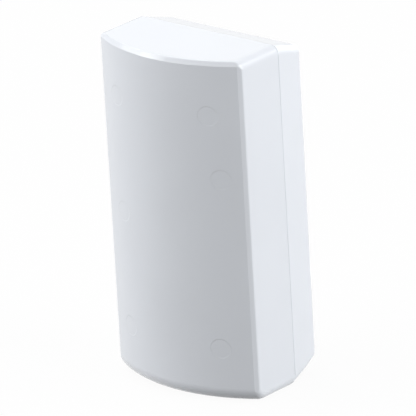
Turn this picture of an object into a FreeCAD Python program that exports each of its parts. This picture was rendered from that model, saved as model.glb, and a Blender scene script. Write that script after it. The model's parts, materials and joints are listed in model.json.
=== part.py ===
"""Door and window contact sensor: a two-shell wall housing with its battery and electronics.

Frame: X runs across the housing, Y from the front (-Y) to the wall (Y = 0), Z is up.
The parts are drawn with Z = 0 at the underside. The finished set is then lowered by half the
housing's height, so the origin is the middle of the wall face, between the two screw holes.
All lengths are in millimetres.
"""
import FreeCAD
import Part
import math
import os
from FreeCAD import Vector

# Housing outline
HOUSING_WIDTH = 38.8
HOUSING_HEIGHT = 76.3
BASE_DEPTH = 8.6            # rear shell, from the wall to the parting line
COVER_SIDE_DEPTH = 12.3     # flat side of the front shell
FRONT_BULGE = 5.7           # rise of the curved front over its corners
BEVEL_DROP = 1.05           # flat bevel round the curved front: how far it comes down the front
BEVEL_TOP_REACH = 0.55      # how far it runs back over the top
BEVEL_CORNER_REACH = 0.7    # how far its upright arms come in across the front
BEVEL_SIDE_REACH = 0.42     # how far they run back along the sides
BEVEL_FRONT_EDGE_R = 0.2    # broken edges of that bevel on the front and between its arms
BEVEL_TOP_EDGE_R = 0.4      # and on the top
BEVEL_SIDE_EDGE_R = 0.8     # and on the sides
BEVEL_SIDE_EDGE_SHARE = 1.75    # most of it, as a share of the width left beside the mitre
SHOULDER_R = 2.0            # upper corners of the front shell, seen from the front
FOOT_FRONT_R = 3.2          # bottom edge of the curved front
FOOT_SIDE_R = 2.0           # bottom edges of both shells' sides
FOOT_CORNER_R = 1.5         # where those edges meet under the bevel
PARTING_GAP = 0.15          # groove between the two shells
PARTING_EDGE_R = 0.2        # broken edges along the groove

# Rear shell
BASE_INSET = 0.15           # rear shell stands this far inside the cover's outline
BASE_SIDE_TAPER = 1.1       # how far each side runs in at the wall
BASE_TOP_TAPER = 2.5        # how far the top runs in at the wall
BASE_BOTTOM_RISE = 3.3      # how far the curved underside has risen at the wall
BASE_BOTTOM_BELLY = 0.3     # how far the underside bows out below its chord
BASE_SHOULDER_R = 1.8       # upper corners, seen from the front
BASE_BACK_R = 1.1           # edges round the wall face
BASE_WALL = 1.6             # side walls
BASE_FLOOR = 2.0            # wall face

# Front shell
COVER_WALL = 1.6
COVER_INNER_R = 2.0         # corners of the cavity, seen from the front
LIP_THICKNESS = 1.0         # rim of the rear shell that enters the cover
LIP_HEIGHT = 2.0
LIP_CLEARANCE = 0.3
BEAD_R = 0.8                # half-round grip beads on the rim
BEAD_PROUD = 0.18
BEAD_LENGTH = 6.0
BEAD_SPACING = 38.0         # between the two beads of a long side
BEAD_DEPTH = 1.0            # from the parting line to the middle of a bead

# Wall fixing
WALL_HOLE_MARGIN = 9.5      # from each end of the housing
WALL_HOLE_D = 4.0
WALL_SINK_D = 7.2
WALL_SINK_DEPTH = 1.2

# Circuit board
BOARD_SIDE_CLEARANCE = 0.5
BOARD_LOWER_CLEARANCE = 2.1
BOARD_UPPER_CLEARANCE = 1.5
BOARD_THICKNESS = 1.6
BOARD_STANDOFF = 2.2
BOARD_CORNER_R = 1.5
BOARD_NOTCH_MARGIN = 0.5    # round the head of a wall screw

# Board fixings on the rear shell
BOSS_D = 4.6
SCREW_D = 2.2
SCREW_PILOT_CLEARANCE = 0.05
SCREW_LENGTH = 5.0
SCREW_HEAD_D = 4.0
SCREW_HEAD_HEIGHT = 1.5
SCREW_RECESS_WIDTH = 0.55
SCREW_RECESS_LENGTH = 2.2
SCREW_RECESS_DEPTH = 0.8
BOARD_HOLE_CLEARANCE = 0.15
PEG_D = 1.8
PEG_HEIGHT = 1.0            # above the board
FIXING_SIDE_MARGIN = 2.3    # from the board's edges to its fixings
FIXING_TOP_MARGIN = 2.8
FIXING_BOTTOM_MARGIN = 3.4
UPPER_PEG_SIDE_MARGIN = 1.8
UPPER_PEG_HEIGHT = 2.9      # over the battery holder
RIB_THICKNESS = 1.0
RIB_HEIGHT = 1.5
RIB_X = 8.0                 # two upright ribs on the wall face

# Battery and its holder
BATTERY_D = 15.6
BATTERY_LENGTH = 27.0       # with the raised positive end
BATTERY_NUB_D = 6.0
BATTERY_NUB_HEIGHT = 1.0
BATTERY_EDGE_R = 0.8
HOLDER_EDGE_MARGIN = 1.2    # from the board's right edge
HOLDER_NOTCH_MARGIN = 1.2   # over the lower notch
HOLDER_WALL = 1.2
HOLDER_FLOOR = 0.8
HOLDER_SIDE_CLEARANCE = 0.3
HOLDER_FLOOR_CLEARANCE = 0.1
HOLDER_SIDE_HEIGHT = 7.4
HOLDER_END_HEIGHT = 13.6
HOLDER_WINDOW_MARGIN = 4.5
CONTACT_THICKNESS = 0.4
CONTACT_WIDTH = 8.0
SPRING_WIRE = 0.55
SPRING_D = 7.0
SPRING_TURNS = 2.5
SPRING_SPACE = 2.5          # between its plate and the battery
GUIDE_RIB_CLEARANCE = 0.6   # between the cover's ribs and the battery
GUIDE_RIB_THICKNESS = 1.2
GUIDE_RIB_REACH = 4.4       # ribs reach this far behind the cavity's front
GUIDE_RIB_SPACING = 14.0
RIB_ROOT = 0.2              # how far ribs run into the wall that carries them

# Push switches: the tamper plunger and the learn button
SWITCH_WIDTH = 6.0
SWITCH_LEG_WIDTH = 0.8
SWITCH_LEG_REACH = 0.9
SWITCH_LEG_THICKNESS = 0.25
SWITCH_ROOF = 0.8
SWITCH_WALL = 0.7
STEM_CLEARANCE = 0.06
FLANGE_GAP = 0.05
FLANGE_THICKNESS = 0.6
FLANGE_MARGIN = 0.5         # flange over its stem
SWITCH_ROW_MARGIN = 1.6     # under the capacitor
SWITCH_PITCH = 8.8          # from the learn button to the tamper switch
TAMPER_HEIGHT = 4.0
TAMPER_STEM_D = 3.2
TAMPER_STEM_HEIGHT = 3.4
TAMPER_TRAVEL = 0.8
POST_D = 4.2
POST_GAP = 0.35             # between the cover's post and the free plunger
POST_FIN_THICKNESS = 1.0
POST_FIN_REACH = 5.0
LEARN_EDGE_MARGIN = 4.0
LEARN_HEIGHT = 3.4
LEARN_STEM_D = 3.4
LEARN_STEM_HEIGHT = 1.6
LEARN_TRAVEL = 0.4

# Reed switch
REED_EDGE_MARGIN = 1.3
REED_GLASS_D = 2.2
REED_GLASS_LENGTH = 14.0
REED_GLASS_BORE = 1.3
REED_LEAD_D = 0.5
REED_SPAN = 18.0            # between the two bent ends
REED_STANDOFF = 0.6
REED_SHIELD_GAP = 0.6
REED_BLADE_LAP = 1.6
REED_BLADE_GAP = 0.12
REED_BLADE_WIDTH = 0.8
REED_SEAL_LENGTH = 2.4

# Terminal block
TERMINAL_EDGE_MARGIN = 1.2
TERMINAL_BACK_WALL = 1.6
TERMINAL_TOP_MARGIN = 1.0
TERMINAL_PITCH = 5.08
TERMINAL_DEPTH = 8.0
TERMINAL_HEIGHT = 9.6
TERMINAL_SHOULDER = 6.4
TERMINAL_SHOULDER_SLOPE = 0.5   # run of the sloped shoulder for each unit of its rise
TERMINAL_EDGE_R = 0.6
TERMINAL_WIRE_SIZE = 3.4
TERMINAL_WIRE_HEIGHT = 1.2
TERMINAL_SCREW_D = 3.2
TERMINAL_SCREW_LENGTH = 3.2
TERMINAL_SCREW_CLEARANCE = 0.2
TERMINAL_SLOT = 0.6
CLAMP_CLEARANCE = 0.2
CLAMP_WALL = 0.6

# Radio section
SHIELD_HOLDER_GAP = 0.2
SHIELD_WIDTH = 7.6
SHIELD_LENGTH = 12.0
SHIELD_HEIGHT = 2.4
SHIELD_SHEET = 0.25
SHIELD_EDGE_R = 0.5
SHIELD_VENT_D = 1.2
SHIELD_VENT_PITCH = 3.2
RADIO_CHIP_SIZE = 4.0
RADIO_CHIP_HEIGHT = 0.9
ANTENNA_OFFSET = 10.6       # from the tamper switch
ANTENNA_WIRE = 0.7
ANTENNA_D = 4.2
ANTENNA_TURNS = 6
ANTENNA_PITCH = 1.3
ANTENNA_STANDOFF = 0.7

# Small parts on the board
LEAD_STEP = 1.27
LEAD_WIDTH = 0.42
LEAD_THICKNESS = 0.2
PART_GAP = 1.2              # between neighbours up the left side of the board
CONTROLLER_WIDTH = 3.4
CONTROLLER_HEIGHT = 1.5
CONTROLLER_SPREAD = 5.0
CONTROLLER_HOLDER_GAP = 0.4
CONTROLLER_LEAD_COUNT = 6
REGULATOR_WIDTH = 1.5
REGULATOR_HEIGHT = 1.1
REGULATOR_SPREAD = 2.8
REGULATOR_LEAD_COUNT = 2
CRYSTAL_WIDTH = 5.0
CRYSTAL_LENGTH = 3.2
CRYSTAL_HEIGHT = 1.3
CAPACITOR_NOTCH_MARGIN = 0.3
CAPACITOR_TOP_MARGIN = 2.2
CAPACITOR_D = 5.0
CAPACITOR_HEIGHT = 7.2
CAPACITOR_BASE = 5.3
CAPACITOR_BASE_HEIGHT = 1.0
CAPACITOR_GROOVE = 0.3
LED_LENGTH = 3.2
LED_WIDTH = 1.6
LED_BASE_HEIGHT = 0.6
LED_WINDOW_D = 3.0          # thinned spot of the cover in front of the light
LED_WINDOW_DEPTH = 0.9
CHIP_LENGTH = 2.0
CHIP_WIDTH = 1.25
CHIP_HEIGHT = 0.6
CHIP_BODY_STEP = 0.02       # the body stands this far inside its metal ends
CHIP_PITCH = 2.3
CHIP_COUNT = 3
CHIP_ROW_MARGIN = 5.8       # over the board's lower edge

# Places worked out from the sizes above
HALF_WIDTH = HOUSING_WIDTH / 2
PARTING_Y = -BASE_DEPTH
COVER_REAR_Y = PARTING_Y - PARTING_GAP
CORNER_Y = PARTING_Y - COVER_SIDE_DEPTH
FRONT_Y = CORNER_Y - FRONT_BULGE
FRONT_R = (HALF_WIDTH ** 2 + FRONT_BULGE ** 2) / (2 * FRONT_BULGE)
FRONT_AXIS_Y = FRONT_Y + FRONT_R
INNER_HALF_WIDTH = HALF_WIDTH - COVER_WALL
INNER_TOP = HOUSING_HEIGHT - COVER_WALL
LIP_INSET = COVER_WALL + LIP_CLEARANCE
CAVITY_INSET = LIP_INSET + LIP_THICKNESS
BOARD_BACK_Y = -(BASE_FLOOR + BOARD_STANDOFF)
BOARD_Y = BOARD_BACK_Y - BOARD_THICKNESS
BOARD_HALF_WIDTH = HALF_WIDTH - CAVITY_INSET - BOARD_SIDE_CLEARANCE
BOARD_BOTTOM = CAVITY_INSET + BOARD_LOWER_CLEARANCE
BOARD_TOP = HOUSING_HEIGHT - CAVITY_INSET - BOARD_UPPER_CLEARANCE
WALL_HOLES_Z = (WALL_HOLE_MARGIN, HOUSING_HEIGHT - WALL_HOLE_MARGIN)
NOTCH_D = WALL_SINK_D + 2 * BOARD_NOTCH_MARGIN

HOLDER_WIDTH = BATTERY_D + 2 * (HOLDER_SIDE_CLEARANCE + HOLDER_WALL)
HOLDER_BOTTOM = WALL_HOLES_Z[0] + NOTCH_D / 2 + HOLDER_NOTCH_MARGIN
BATTERY_X = BOARD_HALF_WIDTH - HOLDER_EDGE_MARGIN - HOLDER_WIDTH / 2
BATTERY_AXIS_Y = BOARD_Y - (HOLDER_FLOOR + HOLDER_FLOOR_CLEARANCE + BATTERY_D / 2)
BATTERY_BOTTOM = HOLDER_BOTTOM + HOLDER_WALL + CONTACT_THICKNESS + SPRING_SPACE
BATTERY_TOP = BATTERY_BOTTOM + BATTERY_LENGTH
HOLDER_TOP = BATTERY_TOP + CONTACT_THICKNESS + HOLDER_WALL
HOLDER_LEFT = BATTERY_X - HOLDER_WIDTH / 2

FIXING_X = BOARD_HALF_WIDTH - FIXING_SIDE_MARGIN
SCREW_PLACES = (
    (-FIXING_X, BOARD_TOP - FIXING_TOP_MARGIN),
    (FIXING_X, BOARD_BOTTOM + FIXING_BOTTOM_MARGIN),
)
PEG_PLACES = (
    (-FIXING_X, BOARD_BOTTOM + FIXING_BOTTOM_MARGIN),
    (BOARD_HALF_WIDTH - UPPER_PEG_SIDE_MARGIN, HOLDER_TOP + UPPER_PEG_HEIGHT),
)

LEARN_X = LEARN_EDGE_MARGIN - BOARD_HALF_WIDTH
TAMPER_X = LEARN_X + SWITCH_PITCH
TAMPER_TIP_Y = BOARD_Y - TAMPER_HEIGHT - TAMPER_STEM_HEIGHT
ANTENNA_X = TAMPER_X + ANTENNA_OFFSET
TERMINAL_X = BOARD_HALF_WIDTH - TERMINAL_EDGE_MARGIN - TERMINAL_PITCH
TERMINAL_Z = BOARD_TOP - TERMINAL_TOP_MARGIN - TERMINAL_DEPTH / 2
CAPACITOR_X = -(NOTCH_D + CAPACITOR_BASE) / 2 - CAPACITOR_NOTCH_MARGIN
CAPACITOR_Z = BOARD_TOP - CAPACITOR_TOP_MARGIN - CAPACITOR_BASE / 2
SWITCH_ROW_Z = CAPACITOR_Z - (CAPACITOR_BASE + SWITCH_WIDTH) / 2 - SWITCH_ROW_MARGIN

STRIP_X = HOLDER_LEFT - CONTROLLER_HOLDER_GAP - CONTROLLER_SPREAD / 2
CHIP_RESISTOR_X = (NOTCH_D / 2 + FIXING_X - SCREW_HEAD_D / 2) / 2
CHIP_RESISTOR_Z = BOARD_BOTTOM + FIXING_BOTTOM_MARGIN
CHIP_CAPACITOR_Z = BOARD_BOTTOM + CHIP_ROW_MARGIN
CRYSTAL_Z = CHIP_CAPACITOR_Z + (CHIP_LENGTH + CRYSTAL_LENGTH) / 2 + PART_GAP
CONTROLLER_LENGTH = CONTROLLER_LEAD_COUNT * LEAD_STEP
CONTROLLER_Z = CRYSTAL_Z + (CRYSTAL_LENGTH + CONTROLLER_LENGTH) / 2 + PART_GAP
REGULATOR_LENGTH = REGULATOR_LEAD_COUNT * LEAD_STEP
REGULATOR_Z = CONTROLLER_Z + (CONTROLLER_LENGTH + REGULATOR_LENGTH) / 2 + PART_GAP
SHIELD_X = HOLDER_LEFT - SHIELD_HOLDER_GAP - SHIELD_WIDTH / 2
SHIELD_Z = REGULATOR_Z + (REGULATOR_LENGTH + SHIELD_LENGTH) / 2 + PART_GAP
LED_Z = SHIELD_Z + (SHIELD_LENGTH + LED_WIDTH) / 2 + PART_GAP
REED_X = REED_EDGE_MARGIN - BOARD_HALF_WIDTH
REED_Z = SHIELD_Z - (SHIELD_LENGTH + REED_SPAN + REED_LEAD_D) / 2 - REED_SHIELD_GAP
TINY = 0.01
JOIN_TOLERANCE = 0.00001     # how far apart two faces may lie and still count as one

document = FreeCAD.newDocument("sensor")


def corner_points(before, corner, after, radius):
    """Give the start, middle and end of the arc that rounds one corner of an outline."""
    back = (before - corner).normalize()
    ahead = (after - corner).normalize()
    half = back.getAngle(ahead) / 2
    start = corner + back * (radius / math.tan(half))
    end = corner + ahead * (radius / math.tan(half))
    centre = corner + (back + ahead).normalize() * (radius / math.sin(half))
    middle = centre + (corner - centre).normalize() * radius
    return start, middle, end


def outline_face(corners):
    """Make a flat face from (point, radius) corners joined by straight lines."""
    points = [Vector(*point) for point, radius in corners]
    spans = []
    for index, (point, radius) in enumerate(corners):
        here = points[index]
        if radius:
            following = points[(index + 1) % len(points)]
            spans.append(corner_points(points[index - 1], here, following, radius))
        else:
            spans.append((here, None, here))
    edges = []
    for index, (start, middle, end) in enumerate(spans):
        if middle:
            edges.append(Part.Arc(start, middle, end).toShape())
        following = spans[(index + 1) % len(spans)][0]
        if end.distanceToPoint(following) > TINY:
            edges.append(Part.LineSegment(end, following).toShape())
    return Part.Face(Part.Wire(edges))


def rounded(shape, radius_of):
    """Round a solid's edges, each with the radius that radius_of(edge) gives; 0 leaves it sharp."""
    base = document.addObject("Part::Feature", "Sharp")
    base.Shape = shape
    fillet = document.addObject("Part::Fillet", "Rounded")
    fillet.Base = base
    plan = []
    for number, edge in enumerate(shape.Edges, 1):
        radius = radius_of(edge)
        if radius:
            plan.append((number, radius, radius))
    fillet.Edges = plan
    document.recompute()
    return fillet.Shape.Solids[0]


def rounded_slab(half_width, bottom, top, y_front, y_back, bottom_r, top_r):
    """Make a plate from y_front to y_back that is a rounded rectangle seen from the front."""
    face = outline_face((
        ((-half_width, y_front, bottom), bottom_r),
        ((half_width, y_front, bottom), bottom_r),
        ((half_width, y_front, top), top_r),
        ((-half_width, y_front, top), top_r),
    ))
    return face.extrude(Vector(0, y_back - y_front, 0))


def curved_front_prism(inset, y_back, bottom, top):
    """Make the upright prism with the housing's curved front, drawn in by inset on its three walls."""
    half = HALF_WIDTH - inset
    radius = FRONT_R - inset
    corner_y = front_y(half, inset)
    left_back = Vector(-half, y_back, bottom)
    left_front = Vector(-half, corner_y, bottom)
    middle = Vector(0, FRONT_AXIS_Y - radius, bottom)
    right_front = Vector(half, corner_y, bottom)
    right_back = Vector(half, y_back, bottom)
    wire = Part.Wire([
        Part.LineSegment(left_back, left_front).toShape(),
        Part.Arc(left_front, middle, right_front).toShape(),
        Part.LineSegment(right_front, right_back).toShape(),
        Part.LineSegment(right_back, left_back).toShape(),
    ])
    return Part.Face(wire).extrude(Vector(0, 0, top - bottom))


def box_at(width, depth, height, x=0.0, y=0.0, z=0.0):
    """Make a box centred on x and y that stands on z."""
    return Part.makeBox(width, depth, height, Vector(x - width / 2, y - depth / 2, z))


def cylinder_y(diameter, y_start, y_end, x, z):
    """Make a cylinder that lies along Y."""
    low = min(y_start, y_end)
    return Part.makeCylinder(diameter / 2, abs(y_end - y_start), Vector(x, low, z), Vector(0, 1, 0))


def on_board(shape, x, z):
    """Seat a part drawn lying on the XY plane, height up, on the board's front face at (x, z)."""
    placed = shape.copy()
    placed.rotate(Vector(0, 0, 0), Vector(1, 0, 0), 90)
    placed.translate(Vector(x, BOARD_Y, z))
    return placed


def wire_section(diameter, x):
    """Make the six-sided section of a coiled wire, standing on the XZ plane at x."""
    corners = []
    for number in range(7):
        angle = math.radians(60 * number)
        corners.append(Vector(x + diameter / 2 * math.cos(angle), 0, diameter / 2 * math.sin(angle)))
    return Part.makePolygon(corners)


def fuse_all(shapes):
    """Join touching shapes into one solid."""
    joined = shapes[0].multiFuse(shapes[1:])
    return joined.removeSplitter()


def bevelled_prism():
    """Make the upright prism with the curved front and the two upright arms of its bevel."""
    arm_x = HALF_WIDTH - BEVEL_CORNER_REACH
    arm_y = front_y(arm_x, 0)
    side_y = CORNER_Y + BEVEL_SIDE_REACH
    left_back = Vector(-HALF_WIDTH, COVER_REAR_Y, 0)
    left_side = Vector(-HALF_WIDTH, side_y, 0)
    left_front = Vector(-arm_x, arm_y, 0)
    right_front = Vector(arm_x, arm_y, 0)
    right_side = Vector(HALF_WIDTH, side_y, 0)
    right_back = Vector(HALF_WIDTH, COVER_REAR_Y, 0)
    wire = Part.Wire([
        Part.LineSegment(left_back, left_side).toShape(),
        Part.LineSegment(left_side, left_front).toShape(),
        Part.Arc(left_front, Vector(0, FRONT_Y, 0), right_front).toShape(),
        Part.LineSegment(right_front, right_side).toShape(),
        Part.LineSegment(right_side, right_back).toShape(),
        Part.LineSegment(right_back, left_back).toShape(),
    ])
    return Part.Face(wire).extrude(Vector(0, 0, HOUSING_HEIGHT))


def top_bevel_ring():
    """Make the ring that cuts the bevel's upper arm, turned round the axis of the curved front."""
    outer_y = FRONT_AXIS_Y + FRONT_R + BEVEL_TOP_REACH
    inner_y = FRONT_AXIS_Y + FRONT_R - 2 * BEVEL_TOP_REACH
    low = Vector(0, outer_y, HOUSING_HEIGHT - 2 * BEVEL_DROP)
    inner = Vector(0, inner_y, HOUSING_HEIGHT + BEVEL_DROP)
    high = Vector(0, outer_y, HOUSING_HEIGHT + BEVEL_DROP)
    wire = Part.Wire([
        Part.LineSegment(low, inner).toShape(),
        Part.LineSegment(inner, high).toShape(),
        Part.LineSegment(high, low).toShape(),
    ])
    return Part.Face(wire).revolve(Vector(0, FRONT_AXIS_Y, 0), Vector(0, 0, 1), 360)


def meets_curved_front(point):
    """Tell whether a point lies on the cylinder of the curved front."""
    return abs(math.hypot(point.x, point.y - FRONT_AXIS_Y) - FRONT_R) < TINY / 2


def bevel_side_room():
    """Give the largest edge radius that leaves the mitre between the bevel's arms whole."""
    shoulder_x = HALF_WIDTH - SHOULDER_R + math.sqrt(SHOULDER_R ** 2 - (SHOULDER_R - BEVEL_DROP) ** 2)
    return BEVEL_SIDE_EDGE_SHARE * (shoulder_x - (HALF_WIDTH - BEVEL_CORNER_REACH))


def bevel_edge_radius(edge):
    """Choose the radii of the edges round the bevel."""
    box = edge.BoundBox
    if box.YMax > CORNER_Y + BEVEL_SIDE_REACH + TINY or box.ZMax < TINY:
        return 0
    if any(meets_curved_front(vertex.Point) for vertex in edge.Vertexes):
        return BEVEL_FRONT_EDGE_R
    on_arm = box.XMax > HALF_WIDTH - TINY or box.XMin < TINY - HALF_WIDTH
    return min(BEVEL_SIDE_EDGE_R, bevel_side_room()) if on_arm else BEVEL_TOP_EDGE_R


def bevelled_front():
    """Upper form of the front shell: round shoulders and a flat bevel round the curved front."""
    body = bevelled_prism().common(rounded_slab(
        HALF_WIDTH, 0, HOUSING_HEIGHT, FRONT_Y, COVER_REAR_Y, 0, SHOULDER_R))
    body = body.cut(top_bevel_ring()).Solids[0].removeSplitter()
    return rounded(body, bevel_edge_radius)


def foot_edge_radius(edge):
    """Choose the radii round the front shell's foot."""
    box = edge.BoundBox
    if box.YMin > COVER_REAR_Y - TINY:
        return 0
    if box.ZMax < TINY:
        return FOOT_SIDE_R if box.XLength < TINY else FOOT_FRONT_R
    upright = box.ZLength > HOUSING_HEIGHT - TINY
    return FOOT_CORNER_R if upright else 0


def cover_rear_radius(edge):
    """Choose the broken edge round the rear of the front shell."""
    return PARTING_EDGE_R if edge.BoundBox.YMin > COVER_REAR_Y - TINY else 0


def cover_outer():
    """Outside of the front shell: bevelled above, rounded at its foot."""
    foot = rounded(curved_front_prism(0, COVER_REAR_Y, 0, HOUSING_HEIGHT), foot_edge_radius)
    form = bevelled_front().common([foot], JOIN_TOLERANCE).Solids[0].removeSplitter()
    return rounded(form, cover_rear_radius)


def front_cover():
    """Front shell: curved face, flat sides, battery guide ribs and the post for the tamper switch."""
    cavity = curved_front_prism(COVER_WALL, COVER_REAR_Y + TINY, COVER_WALL, INNER_TOP)
    cavity = cavity.common(rounded_slab(
        INNER_HALF_WIDTH, COVER_WALL, INNER_TOP, FRONT_Y, COVER_REAR_Y + TINY, COVER_INNER_R, COVER_INNER_R))
    shell = cover_outer().cut(cavity)
    shell = fuse_all([shell] + guide_ribs() + tamper_post())
    window_front = front_inner_y(SHIELD_X) - LED_WINDOW_DEPTH
    window = cylinder_y(LED_WINDOW_D, window_front, CORNER_Y, SHIELD_X, LED_Z)
    return shell.cut(window)


def front_y(x, inset):
    """Give the Y of the curved front at x, or of the surface that lies inset behind it."""
    return FRONT_AXIS_Y - math.sqrt((FRONT_R - inset) ** 2 - x ** 2)


def front_inner_y(x):
    """Give the Y of the cavity's curved front at x."""
    return front_y(x, COVER_WALL)


def guide_ribs():
    """Ribs inside the curved front that keep the battery in its holder."""
    ribs = []
    middle = (BATTERY_BOTTOM + BATTERY_TOP) / 2
    reach_y = FRONT_Y + COVER_WALL + GUIDE_RIB_REACH
    for side in (-1, 1):
        low = middle + side * GUIDE_RIB_SPACING / 2 - GUIDE_RIB_THICKNESS / 2
        layer = curved_front_prism(COVER_WALL - RIB_ROOT, reach_y, low, low + GUIDE_RIB_THICKNESS)
        span = Part.makeBox(BATTERY_D, HOUSING_WIDTH, HOUSING_HEIGHT,
                            Vector(BATTERY_X - BATTERY_D / 2, FRONT_Y, 0))
        room = Part.makeCylinder(BATTERY_D / 2 + GUIDE_RIB_CLEARANCE, HOUSING_HEIGHT,
                                 Vector(BATTERY_X, BATTERY_AXIS_Y, 0))
        ribs.extend(layer.common(span).cut(room).Solids)
    return ribs


def tamper_post():
    """Post with two fins that meets the tamper plunger when the cover goes on."""
    root_y = front_inner_y(TAMPER_X) - COVER_WALL / 2
    tip_y = TAMPER_TIP_Y - POST_GAP
    post = cylinder_y(POST_D, root_y, tip_y, TAMPER_X, SWITCH_ROW_Z)
    fins = []
    for side in (-1, 1):
        points = (
            Vector(TAMPER_X, root_y, SWITCH_ROW_Z),
            Vector(TAMPER_X + side * POST_FIN_REACH, root_y, SWITCH_ROW_Z),
            Vector(TAMPER_X, tip_y - POST_FIN_REACH, SWITCH_ROW_Z),
            Vector(TAMPER_X, root_y, SWITCH_ROW_Z),
        )
        fin = Part.Face(Part.makePolygon(points)).extrude(Vector(0, 0, POST_FIN_THICKNESS))
        fin.translate(Vector(0, 0, -POST_FIN_THICKNESS / 2))
        fins.append(fin)
    return [post] + fins


def base_edge_radius(edge):
    """Choose the rear shell's edge radii, all but those round its mouth."""
    box = edge.BoundBox
    if box.YMax < PARTING_Y + TINY:
        return 0
    if box.YMin > -TINY:
        return BASE_BACK_R
    low = box.ZMax < HOUSING_HEIGHT / 2
    return FOOT_SIDE_R if low else BASE_SHOULDER_R


def base_mouth_radius(edge):
    """Choose the broken edge round the rear shell's mouth."""
    return PARTING_EDGE_R if edge.BoundBox.YMax < PARTING_Y + TINY else 0


def base_outer():
    """Outside of the rear shell: straight tapers on the sides and top, a curved underside."""
    half = HALF_WIDTH - BASE_INSET
    low = BASE_INSET
    high = HOUSING_HEIGHT - BASE_INSET
    plan = Part.Face(Part.makePolygon((
        Vector(-half, PARTING_Y, 0),
        Vector(half, PARTING_Y, 0),
        Vector(half - BASE_SIDE_TAPER, 0, 0),
        Vector(BASE_SIDE_TAPER - half, 0, 0),
        Vector(-half, PARTING_Y, 0),
    ))).extrude(Vector(0, 0, HOUSING_HEIGHT))
    start = Vector(-HALF_WIDTH, PARTING_Y, low)
    end = Vector(-HALF_WIDTH, 0, BASE_BOTTOM_RISE)
    chord = end - start
    outward = Vector(0, chord.z, -chord.y).normalize()
    belly = (start + end) * 0.5 + outward * BASE_BOTTOM_BELLY
    top_back = Vector(-HALF_WIDTH, 0, high - BASE_TOP_TAPER)
    top_front = Vector(-HALF_WIDTH, PARTING_Y, high)
    side = Part.Face(Part.Wire([
        Part.Arc(start, belly, end).toShape(),
        Part.LineSegment(end, top_back).toShape(),
        Part.LineSegment(top_back, top_front).toShape(),
        Part.LineSegment(top_front, start).toShape(),
    ])).extrude(Vector(HOUSING_WIDTH, 0, 0))
    return rounded(rounded(plan.common(side), base_edge_radius), base_mouth_radius)


def base_cavity():
    """Room inside the rear shell, with its top and bottom drawn in towards the wall."""
    half = HALF_WIDTH - CAVITY_INSET
    mouth_y = PARTING_Y - LIP_HEIGHT - TINY
    knee_y = PARTING_Y + LIP_HEIGHT
    floor_y = -BASE_FLOOR
    low = CAVITY_INSET
    high = HOUSING_HEIGHT - CAVITY_INSET
    rise = BASE_BOTTOM_RISE * (1 - BASE_FLOOR / BASE_DEPTH)
    fall = BASE_TOP_TAPER * (1 - BASE_FLOOR / BASE_DEPTH)
    low_back = max(low, BASE_WALL + rise)
    high_back = min(high, HOUSING_HEIGHT - BASE_WALL - fall)
    side = Part.Face(Part.makePolygon((
        Vector(-half, mouth_y, low),
        Vector(-half, knee_y, low),
        Vector(-half, floor_y, low_back),
        Vector(-half, floor_y, high_back),
        Vector(-half, knee_y, high),
        Vector(-half, mouth_y, high),
        Vector(-half, mouth_y, low),
    )))
    return side.extrude(Vector(2 * half, 0, 0))


def grip_beads():
    """Half-round beads on the rim that hold the cover by friction."""
    beads = []
    y = PARTING_Y - BEAD_DEPTH
    side_x = HALF_WIDTH - LIP_INSET - BEAD_R + BEAD_PROUD
    top_z = HOUSING_HEIGHT - LIP_INSET - BEAD_R + BEAD_PROUD
    bottom_z = LIP_INSET + BEAD_R - BEAD_PROUD
    middle_z = HOUSING_HEIGHT / 2
    for x in (-side_x, side_x):
        for z in (middle_z - BEAD_SPACING / 2, middle_z + BEAD_SPACING / 2):
            start = Vector(x, y, z - BEAD_LENGTH / 2)
            beads.append(Part.makeCylinder(BEAD_R, BEAD_LENGTH, start, Vector(0, 0, 1)))
    for z in (bottom_z, top_z):
        start = Vector(-BEAD_LENGTH / 2, y, z)
        beads.append(Part.makeCylinder(BEAD_R, BEAD_LENGTH, start, Vector(1, 0, 0)))
    return beads


def rear_base():
    """Rear shell: tapered tray with the rim for the cover, board bosses and wall screw holes."""
    lip = rounded_slab(HALF_WIDTH - LIP_INSET, LIP_INSET, HOUSING_HEIGHT - LIP_INSET,
                       PARTING_Y - LIP_HEIGHT, PARTING_Y + TINY,
                       COVER_INNER_R - LIP_CLEARANCE, COVER_INNER_R - LIP_CLEARANCE)
    outer = fuse_all([base_outer(), lip] + grip_beads())
    shell = outer.cut(base_cavity())
    floor_y = -BASE_FLOOR
    additions = []
    for x, z in SCREW_PLACES + PEG_PLACES:
        additions.append(cylinder_y(BOSS_D, floor_y + TINY, BOARD_BACK_Y, x, z))
    for x, z in PEG_PLACES:
        additions.append(cylinder_y(PEG_D, BOARD_BACK_Y + TINY, BOARD_Y - PEG_HEIGHT, x, z))
    for x in (-RIB_X, RIB_X):
        low, high = WALL_HOLES_Z
        additions.append(Part.makeBox(RIB_THICKNESS, RIB_HEIGHT + TINY, high - low,
                                      Vector(x - RIB_THICKNESS / 2, floor_y - RIB_HEIGHT, low)))
    shell = fuse_all([shell] + additions)
    pilot_d = SCREW_D + 2 * SCREW_PILOT_CLEARANCE
    pilot_end = BOARD_Y + SCREW_LENGTH + SCREW_PILOT_CLEARANCE
    for x, z in SCREW_PLACES:
        shell = shell.cut(cylinder_y(pilot_d, BOARD_BACK_Y - TINY, pilot_end, x, z))
    for z in WALL_HOLES_Z:
        shell = shell.cut(cylinder_y(WALL_HOLE_D, floor_y - TINY, TINY, 0, z))
        sink = Part.makeCone(WALL_SINK_D / 2, WALL_HOLE_D / 2, WALL_SINK_DEPTH,
                             Vector(0, floor_y, z), Vector(0, 1, 0))
        shell = shell.cut(sink)
    return shell


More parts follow.
